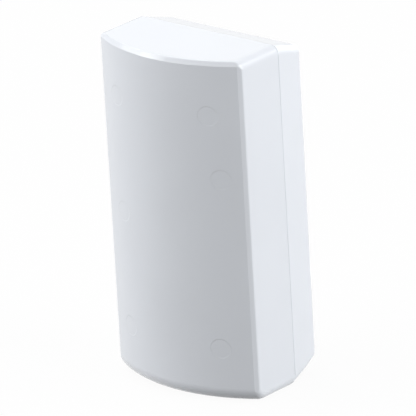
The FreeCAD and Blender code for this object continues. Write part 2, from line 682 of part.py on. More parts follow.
def circuit_board():
    """Board with a notch at each end that leaves the wall screws free."""
    board = rounded_slab(BOARD_HALF_WIDTH, BOARD_BOTTOM, BOARD_TOP, BOARD_Y, BOARD_BACK_Y,
                         BOARD_CORNER_R, BOARD_CORNER_R)
    low, high = WALL_HOLES_Z
    for z, end in ((low, BOARD_BOTTOM - TINY), (high, BOARD_TOP + TINY)):
        board = board.cut(cylinder_y(NOTCH_D, BOARD_Y - TINY, BOARD_BACK_Y + TINY, 0, z))
        opening = Part.makeBox(NOTCH_D, BOARD_THICKNESS + 2 * TINY, abs(end - z),
                               Vector(-NOTCH_D / 2, BOARD_Y - TINY, min(end, z)))
        board = board.cut(opening)
    for places, size in ((SCREW_PLACES, SCREW_D), (PEG_PLACES, PEG_D)):
        for x, z in places:
            hole = cylinder_y(size + 2 * BOARD_HOLE_CLEARANCE, BOARD_Y - TINY, BOARD_BACK_Y + TINY, x, z)
            board = board.cut(hole)
    return board


def board_screws():
    """Two pan-head screws with cross recesses."""
    solids = []
    for x, z in SCREW_PLACES:
        profile = Part.Wire([
            Part.makePolygon((
                Vector(0, 0, SCREW_HEAD_HEIGHT),
                Vector(0, 0, -SCREW_LENGTH),
                Vector(SCREW_D / 4, 0, -SCREW_LENGTH),
                Vector(SCREW_D / 2, 0, -SCREW_LENGTH + SCREW_D / 2),
                Vector(SCREW_D / 2, 0, 0),
                Vector(SCREW_HEAD_D / 2, 0, 0),
                Vector(SCREW_HEAD_D / 2, 0, SCREW_HEAD_HEIGHT / 3),
            )),
            Part.Arc(Vector(SCREW_HEAD_D / 2, 0, SCREW_HEAD_HEIGHT / 3),
                     Vector(SCREW_HEAD_D / 3, 0, SCREW_HEAD_HEIGHT * 0.85),
                     Vector(0, 0, SCREW_HEAD_HEIGHT)).toShape(),
        ])
        screw = Part.Face(profile).revolve(Vector(0, 0, 0), Vector(0, 0, 1), 360)
        recess_z = SCREW_HEAD_HEIGHT - SCREW_RECESS_DEPTH
        for width, depth in (
                (SCREW_RECESS_LENGTH, SCREW_RECESS_WIDTH), (SCREW_RECESS_WIDTH, SCREW_RECESS_LENGTH)):
            screw = screw.cut(box_at(width, depth, SCREW_HEAD_HEIGHT, z=recess_z))
        solids.append(on_board(screw, x, z))
    return Part.makeCompound(solids)


def round_edges(shape):
    """Give the edges that are circles."""
    return [edge for edge in shape.Edges if edge.Curve.TypeId == "Part::GeomCircle"]


def battery_cell():
    """Round lithium cell, raised end up."""
    body_length = BATTERY_LENGTH - BATTERY_NUB_HEIGHT
    body = Part.makeCylinder(BATTERY_D / 2, body_length)
    body = body.makeFillet(BATTERY_EDGE_R, round_edges(body))
    nub = Part.makeCylinder(BATTERY_NUB_D / 2, BATTERY_NUB_HEIGHT + TINY, Vector(0, 0, body_length - TINY))
    cell = fuse_all([body, nub])
    cell.translate(Vector(BATTERY_X, BATTERY_AXIS_Y, BATTERY_BOTTOM))
    return cell


def battery_holder():
    """Open cradle: a floor with a window, two low sides and two high ends with round-cut corners."""
    width = HOLDER_WIDTH
    length = HOLDER_TOP - HOLDER_BOTTOM
    room = width - 2 * HOLDER_WALL
    tray = box_at(width, length, HOLDER_SIDE_HEIGHT, y=length / 2)
    end_face = outline_face((
        ((-width / 2, 0, 0), 0),
        ((width / 2, 0, 0), 0),
        ((width / 2, 0, HOLDER_END_HEIGHT), HOLDER_END_HEIGHT / 3),
        ((-width / 2, 0, HOLDER_END_HEIGHT), HOLDER_END_HEIGHT / 3),
    ))
    ends = []
    for y in (0, length - HOLDER_WALL):
        end = end_face.extrude(Vector(0, HOLDER_WALL, 0))
        end.translate(Vector(0, y, 0))
        ends.append(end)
    inside = length - 2 * HOLDER_WALL
    tray = tray.cut(box_at(room, inside, HOLDER_END_HEIGHT, y=length / 2, z=HOLDER_FLOOR))
    holder = fuse_all([tray] + ends)
    window = box_at(room - 2 * HOLDER_WINDOW_MARGIN, inside - 2 * HOLDER_WINDOW_MARGIN, HOLDER_END_HEIGHT,
                    y=length / 2, z=-TINY)
    return on_board(holder.cut(window), BATTERY_X, HOLDER_BOTTOM)


def battery_contact_positive():
    """Flat contact on the upper end of the holder, folded over its rim."""
    top = HOLDER_END_HEIGHT + CONTACT_THICKNESS
    plate = box_at(CONTACT_WIDTH, CONTACT_THICKNESS, top - HOLDER_FLOOR,
                   y=-CONTACT_THICKNESS / 2, z=HOLDER_FLOOR)
    hook = box_at(CONTACT_WIDTH, HOLDER_WALL + TINY, CONTACT_THICKNESS,
                  y=HOLDER_WALL / 2, z=HOLDER_END_HEIGHT)
    contact = fuse_all([plate, hook])
    return on_board(contact, BATTERY_X, HOLDER_TOP - HOLDER_WALL)


def battery_contact_negative():
    """Coiled contact on its plate at the lower end of the holder."""
    top = HOLDER_END_HEIGHT + CONTACT_THICKNESS
    plate = box_at(CONTACT_WIDTH, CONTACT_THICKNESS, top - HOLDER_FLOOR,
                   y=CONTACT_THICKNESS / 2, z=HOLDER_FLOOR)
    hook = box_at(CONTACT_WIDTH, HOLDER_WALL + TINY, CONTACT_THICKNESS,
                  y=-HOLDER_WALL / 2, z=HOLDER_END_HEIGHT)
    contact = on_board(fuse_all([plate, hook]), BATTERY_X, HOLDER_BOTTOM + HOLDER_WALL)
    rise = SPRING_SPACE - SPRING_WIRE
    radius = (SPRING_D - SPRING_WIRE) / 2
    path = Part.makeHelix(rise / SPRING_TURNS, rise, radius)
    coil = path.makePipeShell([wire_section(SPRING_WIRE, radius)], True, True)
    plate_z = HOLDER_BOTTOM + HOLDER_WALL + CONTACT_THICKNESS
    coil.translate(Vector(BATTERY_X, BATTERY_AXIS_Y, plate_z + SPRING_WIRE / 2 - TINY))
    return fuse_all([contact, coil])


def switch_body(height, stem_d):
    """Square push-switch body with its stem hole, flange room and four surface legs."""
    body = box_at(SWITCH_WIDTH, SWITCH_WIDTH, height)
    upright = [edge for edge in body.Edges if edge.BoundBox.ZLength > height - TINY]
    body = body.makeFillet(SWITCH_WALL / 2, upright)
    room = SWITCH_WIDTH - 2 * SWITCH_WALL
    body = body.cut(box_at(room, room, height - SWITCH_ROOF - SWITCH_WALL, z=SWITCH_WALL))
    body = body.cut(Part.makeCylinder(stem_d / 2 + STEM_CLEARANCE, height, Vector(0, 0, SWITCH_WALL)))
    legs = []
    for x_side in (-1, 1):
        for y_side in (-1, 1):
            legs.append(box_at(SWITCH_LEG_REACH + SWITCH_WALL, SWITCH_LEG_WIDTH, SWITCH_LEG_THICKNESS,
                               x_side * (SWITCH_WIDTH + SWITCH_LEG_REACH - SWITCH_WALL) / 2,
                               y_side * (SWITCH_WIDTH / 2 - 1.5 * SWITCH_LEG_WIDTH)))
    return fuse_all([body] + legs)


def switch_stem(height, stem_d, stem_height):
    """Round stem with the flange that keeps it in its switch, at its free height."""
    flange_top = height - SWITCH_ROOF - FLANGE_GAP
    flange = Part.makeCylinder(stem_d / 2 + FLANGE_MARGIN, FLANGE_THICKNESS,
                               Vector(0, 0, flange_top - FLANGE_THICKNESS))
    stem = Part.makeCylinder(stem_d / 2, stem_height + height - flange_top + TINY,
                             Vector(0, 0, flange_top - TINY))
    tip = [edge for edge in stem.Edges if edge.BoundBox.ZMin > height + stem_height - TINY]
    return fuse_all([flange, stem.makeFillet(SWITCH_WALL / 2, tip)])


def reed_switch_glass():
    """Sealed glass tube, its two ends melted round the leads."""
    half_bore = REED_GLASS_LENGTH / 2 - REED_SEAL_LENGTH
    tube = cylinder_y(REED_GLASS_D, -REED_GLASS_LENGTH / 2, REED_GLASS_LENGTH / 2, 0, 0)
    tube = tube.makeFillet(REED_GLASS_D / 3, round_edges(tube))
    bore = cylinder_y(REED_GLASS_BORE, -half_bore, half_bore, 0, 0)
    lead = cylinder_y(REED_LEAD_D, -REED_GLASS_LENGTH / 2, REED_GLASS_LENGTH / 2, 0, 0)
    tube = tube.cut(bore).cut(lead)
    tube.translate(Vector(0, 0, REED_STANDOFF + REED_GLASS_D / 2))
    return on_board(tube, REED_X, REED_Z)


def reed_switch_leads():
    """Two leads: bent down to the board outside, flattened into lapping blades inside the glass."""
    height = REED_STANDOFF + REED_GLASS_D / 2
    bend = REED_LEAD_D
    blade_thickness = REED_LEAD_D / 2
    seal = REED_GLASS_LENGTH / 2 - REED_SEAL_LENGTH
    outer = REED_SPAN / 2
    solids = []
    for side in (-1, 1):
        mid_bend = Vector(0, outer - bend * (1 - math.sqrt(0.5)), height - bend * (1 - math.sqrt(0.5)))
        path = Part.Wire([
            Part.LineSegment(Vector(0, outer, 0), Vector(0, outer, height - bend)).toShape(),
            Part.Arc(Vector(0, outer, height - bend), mid_bend, Vector(0, outer - bend, height)).toShape(),
            Part.LineSegment(Vector(0, outer - bend, height), Vector(0, seal - bend, height)).toShape(),
        ])
        section = Part.Wire(Part.makeCircle(REED_LEAD_D / 2, Vector(0, outer, 0), Vector(0, 0, 1)))
        lead = path.makePipeShell([section], True, True)
        tip = -REED_BLADE_LAP / 2
        low = height + (REED_BLADE_GAP / 2 if side > 0 else -REED_BLADE_GAP / 2 - blade_thickness)
        blade = Part.makeBox(REED_BLADE_WIDTH, seal - tip - TINY, blade_thickness,
                             Vector(-REED_BLADE_WIDTH / 2, tip, low))
        whole = fuse_all([lead, blade])
        if side < 0:
            whole = whole.mirror(Vector(0, 0, 0), Vector(0, 1, 0))
        solids.append(on_board(whole, REED_X, REED_Z))
    return Part.makeCompound(solids)


def terminal_places():
    """Give the X of each pole of the terminal block, from its own middle."""
    return (-TERMINAL_PITCH / 2, TERMINAL_PITCH / 2)


def terminal_screw_y():
    """Give the place of the screws across the block's depth, over the wire room."""
    return TERMINAL_BACK_WALL + (TERMINAL_WIRE_SIZE - TERMINAL_DEPTH) / 2


def terminal_block():
    """Two-pole block with wire entries towards the top and a screw shaft over each."""
    width = 2 * TERMINAL_PITCH
    half = TERMINAL_DEPTH / 2
    low_half = half - (TERMINAL_HEIGHT - TERMINAL_SHOULDER) * TERMINAL_SHOULDER_SLOPE
    face = outline_face((
        ((-width / 2, -half, 0), 0),
        ((-width / 2, half, 0), 0),
        ((-width / 2, half, TERMINAL_SHOULDER), TERMINAL_EDGE_R),
        ((-width / 2, low_half, TERMINAL_HEIGHT), TERMINAL_EDGE_R),
        ((-width / 2, -low_half, TERMINAL_HEIGHT), TERMINAL_EDGE_R),
        ((-width / 2, -half, TERMINAL_SHOULDER), TERMINAL_EDGE_R),
    ))
    block = face.extrude(Vector(width, 0, 0))
    screw_y = terminal_screw_y()
    inner_end = screw_y - TERMINAL_WIRE_SIZE / 2
    for x in terminal_places():
        entry = Part.makeBox(TERMINAL_WIRE_SIZE, half - inner_end + TINY, TERMINAL_WIRE_SIZE,
                             Vector(x - TERMINAL_WIRE_SIZE / 2, inner_end, TERMINAL_WIRE_HEIGHT))
        shaft = Part.makeCylinder(TERMINAL_SCREW_D / 2 + TERMINAL_SCREW_CLEARANCE, TERMINAL_HEIGHT,
                                  Vector(x, screw_y, TERMINAL_WIRE_HEIGHT + TERMINAL_WIRE_SIZE / 2))
        block = block.cut(entry).cut(shaft)
    return on_board(block, TERMINAL_X, TERMINAL_Z)


def terminal_clamps():
    """Metal cage under each terminal screw, open along the wire."""
    size = TERMINAL_WIRE_SIZE - 2 * CLAMP_CLEARANCE
    height = TERMINAL_WIRE_SIZE - CLAMP_CLEARANCE
    solids = []
    for x in terminal_places():
        cage = box_at(size, size, height, x, terminal_screw_y(), TERMINAL_WIRE_HEIGHT)
        opening = box_at(size - 2 * CLAMP_WALL, size + 2 * TINY, height - 2 * CLAMP_WALL,
                         x, terminal_screw_y(), TERMINAL_WIRE_HEIGHT + CLAMP_WALL)
        solids.append(on_board(cage.cut(opening), TERMINAL_X, TERMINAL_Z))
    return Part.makeCompound(solids)


def terminal_screws():
    """Slotted screws that stand on the clamps."""
    seat = TERMINAL_WIRE_HEIGHT + TERMINAL_WIRE_SIZE - CLAMP_CLEARANCE
    solids = []
    for x in terminal_places():
        screw = Part.makeCylinder(TERMINAL_SCREW_D / 2, TERMINAL_SCREW_LENGTH,
                                  Vector(x, terminal_screw_y(), seat))
        rim = [edge for edge in screw.Edges if edge.BoundBox.ZMin > seat + TERMINAL_SCREW_LENGTH - TINY]
        screw = screw.makeChamfer(TERMINAL_SLOT / 3, rim)
        slot = box_at(TERMINAL_SCREW_D, TERMINAL_SLOT, TERMINAL_SLOT * 2, x, terminal_screw_y(),
                      seat + TERMINAL_SCREW_LENGTH - TERMINAL_SLOT)
        solids.append(on_board(screw.cut(slot), TERMINAL_X, TERMINAL_Z))
    return Part.makeCompound(solids)


def radio_shield():
    """Pressed metal can over the radio chip, open towards the board, with a row of vents."""
    can = box_at(SHIELD_WIDTH, SHIELD_LENGTH, SHIELD_HEIGHT)
    soft = [edge for edge in can.Edges if edge.BoundBox.ZMax > TINY]
    can = can.makeFillet(SHIELD_EDGE_R, soft)
    inner_height = SHIELD_HEIGHT - SHIELD_SHEET
    inside = box_at(SHIELD_WIDTH - 2 * SHIELD_SHEET, SHIELD_LENGTH - 2 * SHIELD_SHEET, inner_height)
    can = can.cut(inside)
    for step in (-1, 0, 1):
        vent = Part.makeCylinder(SHIELD_VENT_D / 2, SHIELD_HEIGHT,
                                 Vector(0, step * SHIELD_VENT_PITCH, SHIELD_HEIGHT / 2))
        can = can.cut(vent)
    return on_board(can, SHIELD_X, SHIELD_Z)


def radio_chip():
    """Flat square chip under the shield."""
    chip = box_at(RADIO_CHIP_SIZE, RADIO_CHIP_SIZE, RADIO_CHIP_HEIGHT)
    return on_board(chip, SHIELD_X, SHIELD_Z)


def antenna_coil():
    """Wire coil on two short legs."""
    length = ANTENNA_TURNS * ANTENNA_PITCH
    radius = (ANTENNA_D - ANTENNA_WIRE) / 2
    path = Part.makeHelix(ANTENNA_PITCH, length, radius)
    coil = path.makePipeShell([wire_section(ANTENNA_WIRE, radius)], True, True)
    coil.rotate(Vector(0, 0, 0), Vector(0, 1, 0), 90)
    axis_height = ANTENNA_STANDOFF + ANTENNA_D / 2
    coil.translate(Vector(-length / 2, 0, axis_height))
    leg_top = axis_height - radius + ANTENNA_WIRE / 4
    legs = [Part.makeCylinder(ANTENNA_WIRE / 2, leg_top, Vector(x, 0, 0)) for x in (-length / 2, length / 2)]
    return on_board(fuse_all([coil] + legs), ANTENNA_X, SWITCH_ROW_Z)


def leaded_chip(width, height, spread, lead_count):
    """Chip body with bent leads along two sides."""
    length = lead_count * LEAD_STEP
    lift = LEAD_THICKNESS / 2
    body = box_at(width, length, height - lift, z=lift)
    rim = [edge for edge in body.Edges if edge.BoundBox.ZMin > height - TINY]
    body = body.makeChamfer(LEAD_THICKNESS, rim)
    knee = height * 0.55
    leads = []
    for side in (-1, 1):
        inner = side * (width / 2 - LEAD_THICKNESS)
        shoulder = side * (width / 2 + (spread - width) / 5)
        foot = side * (spread / 2 - (spread - width) / 5)
        tip = side * spread / 2
        points = ((inner, knee), (shoulder, knee), (foot, 0), (tip, 0), (tip, LEAD_THICKNESS),
                  (foot + side * LEAD_THICKNESS / 2, LEAD_THICKNESS),
                  (shoulder + side * LEAD_THICKNESS / 2, knee + LEAD_THICKNESS),
                  (inner, knee + LEAD_THICKNESS))
        for number in range(lead_count):
            y = (number + 0.5) * LEAD_STEP - length / 2 - LEAD_WIDTH / 2
            polygon = Part.makePolygon([Vector(x, y, z) for x, z in points + points[:1]])
            leads.append(Part.Face(polygon).extrude(Vector(0, LEAD_WIDTH, 0)))
    return fuse_all([body] + leads)


def microcontroller():
    """Controller chip."""
    chip = leaded_chip(CONTROLLER_WIDTH, CONTROLLER_HEIGHT, CONTROLLER_SPREAD, CONTROLLER_LEAD_COUNT)
    return on_board(chip, STRIP_X, CONTROLLER_Z)


def voltage_regulator():
    """Small regulator."""
    chip = leaded_chip(REGULATOR_WIDTH, REGULATOR_HEIGHT, REGULATOR_SPREAD, REGULATOR_LEAD_COUNT)
    return on_board(chip, STRIP_X, REGULATOR_Z)


def crystal():
    """Metal-lidded crystal."""
    can = box_at(CRYSTAL_WIDTH, CRYSTAL_LENGTH, CRYSTAL_HEIGHT)
    can = can.makeFillet(CRYSTAL_HEIGHT / 3, [edge for edge in can.Edges if edge.BoundBox.ZMax > TINY])
    return on_board(can, STRIP_X, CRYSTAL_Z)


def electrolytic_capacitor():
    """Can capacitor on its square base, with the rolled groove near its foot."""
    base = box_at(CAPACITOR_BASE, CAPACITOR_BASE, CAPACITOR_BASE_HEIGHT)
    base = base.makeChamfer(CAPACITOR_BASE / 6, [
        edge for edge in base.Edges if edge.BoundBox.ZLength > TINY and edge.BoundBox.XMin > 0])
    can = Part.makeCylinder(CAPACITOR_D / 2, CAPACITOR_HEIGHT - CAPACITOR_BASE_HEIGHT + TINY,
                            Vector(0, 0, CAPACITOR_BASE_HEIGHT - TINY))
    rim = [edge for edge in can.Edges if edge.BoundBox.ZMin > CAPACITOR_HEIGHT - TINY]
    can = can.makeFillet(CAPACITOR_D / 16, rim)
    ring = Part.Face(Part.makePolygon((
        Vector(CAPACITOR_D / 2 - CAPACITOR_GROOVE, 0, 2 * CAPACITOR_BASE_HEIGHT),
        Vector(CAPACITOR_D / 2 + TINY, 0, 2 * CAPACITOR_BASE_HEIGHT - 1.5 * CAPACITOR_GROOVE),
        Vector(CAPACITOR_D / 2 + TINY, 0, 2 * CAPACITOR_BASE_HEIGHT + 1.5 * CAPACITOR_GROOVE),
        Vector(CAPACITOR_D / 2 - CAPACITOR_GROOVE, 0, 2 * CAPACITOR_BASE_HEIGHT),
    )))
    groove = ring.revolve(Vector(0, 0, 0), Vector(0, 0, 1), 360)
    return on_board(fuse_all([base, can.cut(groove)]), CAPACITOR_X, CAPACITOR_Z)


def status_led():
    """Small light with a half-round lens along its base."""
    base = box_at(LED_LENGTH, LED_WIDTH, LED_BASE_HEIGHT)
    lens_length = LED_LENGTH * 0.6
    upper = box_at(LED_LENGTH, LED_WIDTH, LED_WIDTH, z=LED_BASE_HEIGHT - TINY)
    lens = Part.makeCylinder(LED_WIDTH / 2, lens_length, Vector(-lens_length / 2, 0, LED_BASE_HEIGHT),
                             Vector(1, 0, 0)).common(upper)
    return on_board(fuse_all([base, lens]), SHIELD_X, LED_Z)


def chip_row(x, z):
    """Row of small two-ended chips, their metal ends a little thicker than the middle."""
    end_length = CHIP_LENGTH / 5
    solids = []
    for number in range(CHIP_COUNT):
        middle = box_at(CHIP_WIDTH - 2 * CHIP_BODY_STEP, CHIP_LENGTH - 2 * end_length + 2 * TINY,
                        CHIP_HEIGHT - 2 * CHIP_BODY_STEP, z=CHIP_BODY_STEP)
        ends = []
        for side in (-1, 1):
            ends.append(box_at(CHIP_WIDTH, end_length, CHIP_HEIGHT, y=side * (CHIP_LENGTH - end_length) / 2))
        step = (number - (CHIP_COUNT - 1) / 2) * CHIP_PITCH
        solids.append(on_board(fuse_all([middle] + ends), x + step, z))
    return Part.makeCompound(solids)


def build_parts():
    """Build every sub-part under its node's name."""
    return {
        "front_cover": front_cover(),
        "rear_base": rear_base(),
        "circuit_board": circuit_board(),
        "board_screws": board_screws(),
        "battery_cell": battery_cell(),
        "battery_holder": battery_holder(),
        "battery_contact_positive": battery_contact_positive(),
        "battery_contact_negative": battery_contact_negative(),
        "reed_switch_glass": reed_switch_glass(),
        "reed_switch_leads": reed_switch_leads(),
        "tamper_switch_body": on_board(switch_body(TAMPER_HEIGHT, TAMPER_STEM_D), TAMPER_X, SWITCH_ROW_Z),
        "tamper_switch_plunger": on_board(
            switch_stem(TAMPER_HEIGHT, TAMPER_STEM_D, TAMPER_STEM_HEIGHT), TAMPER_X, SWITCH_ROW_Z),
        "learn_button_body": on_board(switch_body(LEARN_HEIGHT, LEARN_STEM_D), LEARN_X, SWITCH_ROW_Z),
        "learn_button_cap": on_board(
            switch_stem(LEARN_HEIGHT, LEARN_STEM_D, LEARN_STEM_HEIGHT), LEARN_X, SWITCH_ROW_Z),
        "terminal_block": terminal_block(),
        "terminal_clamps": terminal_clamps(),
        "terminal_screws": terminal_screws(),
        "radio_shield": radio_shield(),
        "radio_chip": radio_chip(),
        "antenna_coil": antenna_coil(),
        "microcontroller": microcontroller(),
        "voltage_regulator": voltage_regulator(),
        "crystal": crystal(),
        "electrolytic_capacitor": electrolytic_capacitor(),
        "status_led": status_led(),
        "chip_capacitors": chip_row(STRIP_X, CHIP_CAPACITOR_Z),
        "chip_resistors": chip_row(CHIP_RESISTOR_X, CHIP_RESISTOR_Z),
    }


def main():
    """Write one STEP file for each sub-part."""
    os.makedirs("parts", exist_ok=True)
    for name, shape in build_parts().items():
        shape.translate(Vector(0, 0, -HOUSING_HEIGHT / 2))
        shape.exportStep("parts/" + name + ".step")
        print(name, "solids", len(shape.Solids), "volume", round(shape.Volume, 3), "valid", shape.isValid())


if __name__ == "__main__":
    main()
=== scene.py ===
"""Dress of a door and window sensor: a white two-shell wall housing with its battery and board.

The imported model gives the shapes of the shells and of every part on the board. This script gives
each of them its finish, adds the thin things that lie on them (tracks, pads, solder, printed
outlines, the battery's sleeve) and lights the set in a small white studio.
Lengths are in metres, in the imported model's own frame: X across, -Y to the front, Z up.
"""

import json
import logging
import math
from collections.abc import Mapping, Sequence
from dataclasses import dataclass
from enum import Enum

import bmesh
import bpy
from mathutils import Matrix, Vector

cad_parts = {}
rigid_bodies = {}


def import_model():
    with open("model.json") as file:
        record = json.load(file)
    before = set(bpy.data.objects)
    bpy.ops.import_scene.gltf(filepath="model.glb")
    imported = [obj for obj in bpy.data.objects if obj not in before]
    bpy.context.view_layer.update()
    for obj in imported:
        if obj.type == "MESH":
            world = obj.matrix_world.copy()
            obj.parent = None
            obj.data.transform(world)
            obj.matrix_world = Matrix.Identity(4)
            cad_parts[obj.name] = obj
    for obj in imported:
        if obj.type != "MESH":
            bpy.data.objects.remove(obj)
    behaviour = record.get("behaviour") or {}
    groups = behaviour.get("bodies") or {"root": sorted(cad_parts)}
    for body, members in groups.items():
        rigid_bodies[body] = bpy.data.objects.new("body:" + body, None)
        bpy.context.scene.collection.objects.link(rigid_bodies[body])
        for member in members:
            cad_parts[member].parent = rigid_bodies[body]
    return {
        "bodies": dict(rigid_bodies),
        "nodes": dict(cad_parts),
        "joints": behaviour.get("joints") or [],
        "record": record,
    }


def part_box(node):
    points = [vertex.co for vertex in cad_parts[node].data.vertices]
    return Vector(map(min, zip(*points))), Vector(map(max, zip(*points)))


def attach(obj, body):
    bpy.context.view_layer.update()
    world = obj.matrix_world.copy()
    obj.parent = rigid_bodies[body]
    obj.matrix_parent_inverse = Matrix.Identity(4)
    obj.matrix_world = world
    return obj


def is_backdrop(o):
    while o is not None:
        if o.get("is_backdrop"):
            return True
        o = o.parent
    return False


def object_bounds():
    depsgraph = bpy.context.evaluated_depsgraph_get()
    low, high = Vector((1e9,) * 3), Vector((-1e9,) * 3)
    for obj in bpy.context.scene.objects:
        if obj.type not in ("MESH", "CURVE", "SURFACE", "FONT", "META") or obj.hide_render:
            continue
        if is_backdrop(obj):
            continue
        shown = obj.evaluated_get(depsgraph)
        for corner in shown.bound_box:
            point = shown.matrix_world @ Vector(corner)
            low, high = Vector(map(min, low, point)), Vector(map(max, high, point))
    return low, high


LOG = logging.getLogger("sensor")
MM = 0.001
Colour = tuple[float, float, float]
Place = tuple[float, float]


class Body(Enum):
    """The moving bodies that a piece may ride on."""

    BASE = "base"
    COVER = "cover"
    PLUNGER = "tamper_plunger"
    LEARN = "learn_cap"


# Shader maths


class Signal:
    """A number that varies over a surface, written in plain sums."""

    def __init__(self, recipe: "Recipe", socket: bpy.types.NodeSocket) -> None:
        """Wrap one output socket.

        Args:
            recipe: The recipe whose tree the socket is in.
            socket: The output that carries the number.
        """
        self.recipe = recipe
        self.socket = socket

    def _math(self, operation: str, *others: "Signal | float", swapped: bool = False) -> "Signal":
        """Add one Math node.

        Args:
            operation: The Math node's operation.
            others: What it works on besides this signal.
            swapped: True when this signal comes second.

        Returns:
            The node's result.
        """
        terms = [*others, self] if swapped else [self, *others]
        node = self.recipe.add("ShaderNodeMath", {"operation": operation}, dict(enumerate(terms)))
        return Signal(self.recipe, node.outputs[0])

    def __add__(self, other: "Signal | float") -> "Signal":
        """Give the sum."""
        return self._math("ADD", other)

    __radd__ = __add__

    def __sub__(self, other: "Signal | float") -> "Signal":
        """Give this less the other."""
        return self._math("SUBTRACT", other)

    def __rsub__(self, other: float) -> "Signal":
        """Give the other less this."""
        return self._math("SUBTRACT", other, swapped=True)

    def __mul__(self, other: "Signal | float") -> "Signal":
        """Give the product."""
        return self._math("MULTIPLY", other)

    __rmul__ = __mul__

    def __truediv__(self, other: "Signal | float") -> "Signal":
        """Give this over the other."""
        return self._math("DIVIDE", other)

    def __abs__(self) -> "Signal":
        """Give the size without its sign."""
        return self._math("ABSOLUTE")

    def both(self, other: "Signal") -> "Signal":
        """Give the lesser, which for two masks is where both hold."""
        return self._math("MINIMUM", other)

    def either(self, other: "Signal") -> "Signal":
        """Give the greater, which for two masks is where either holds."""
        return self._math("MAXIMUM", other)

    def sine(self) -> "Signal":
        """Give the sine."""
        return self._math("SINE")

    def length_with(self, other: "Signal") -> "Signal":
        """Give the long side of the right angle made with the other."""
        return (self * self + other * other)._math("SQRT")

    def spread(self, low: float, high: float) -> "Signal":
        """Turn the stretch from low to high into 0 to 1, eased at both ends.

        Args:
            low: The value that becomes 0. It may be the greater of the two.
            high: The value that becomes 1.

        Returns:
            A mask.
        """
        node = self.recipe.add(
            "ShaderNodeMapRange", {"interpolation_type": "SMOOTHSTEP", "clamp": True},
            {"Value": self, "From Min": low, "From Max": high})
        return Signal(self.recipe, node.outputs["Result"])

    def between(self, low: float, high: float, blur: float) -> "Signal":
        """Mark the stretch from low to high.

        Args:
            low: Where the mark starts.
            high: Where it ends.
            blur: The width of its soft edges.

        Returns:
            A mask that is 1 inside.
        """
        return self.spread(low - blur, low + blur).both(self.spread(high + blur, high - blur))


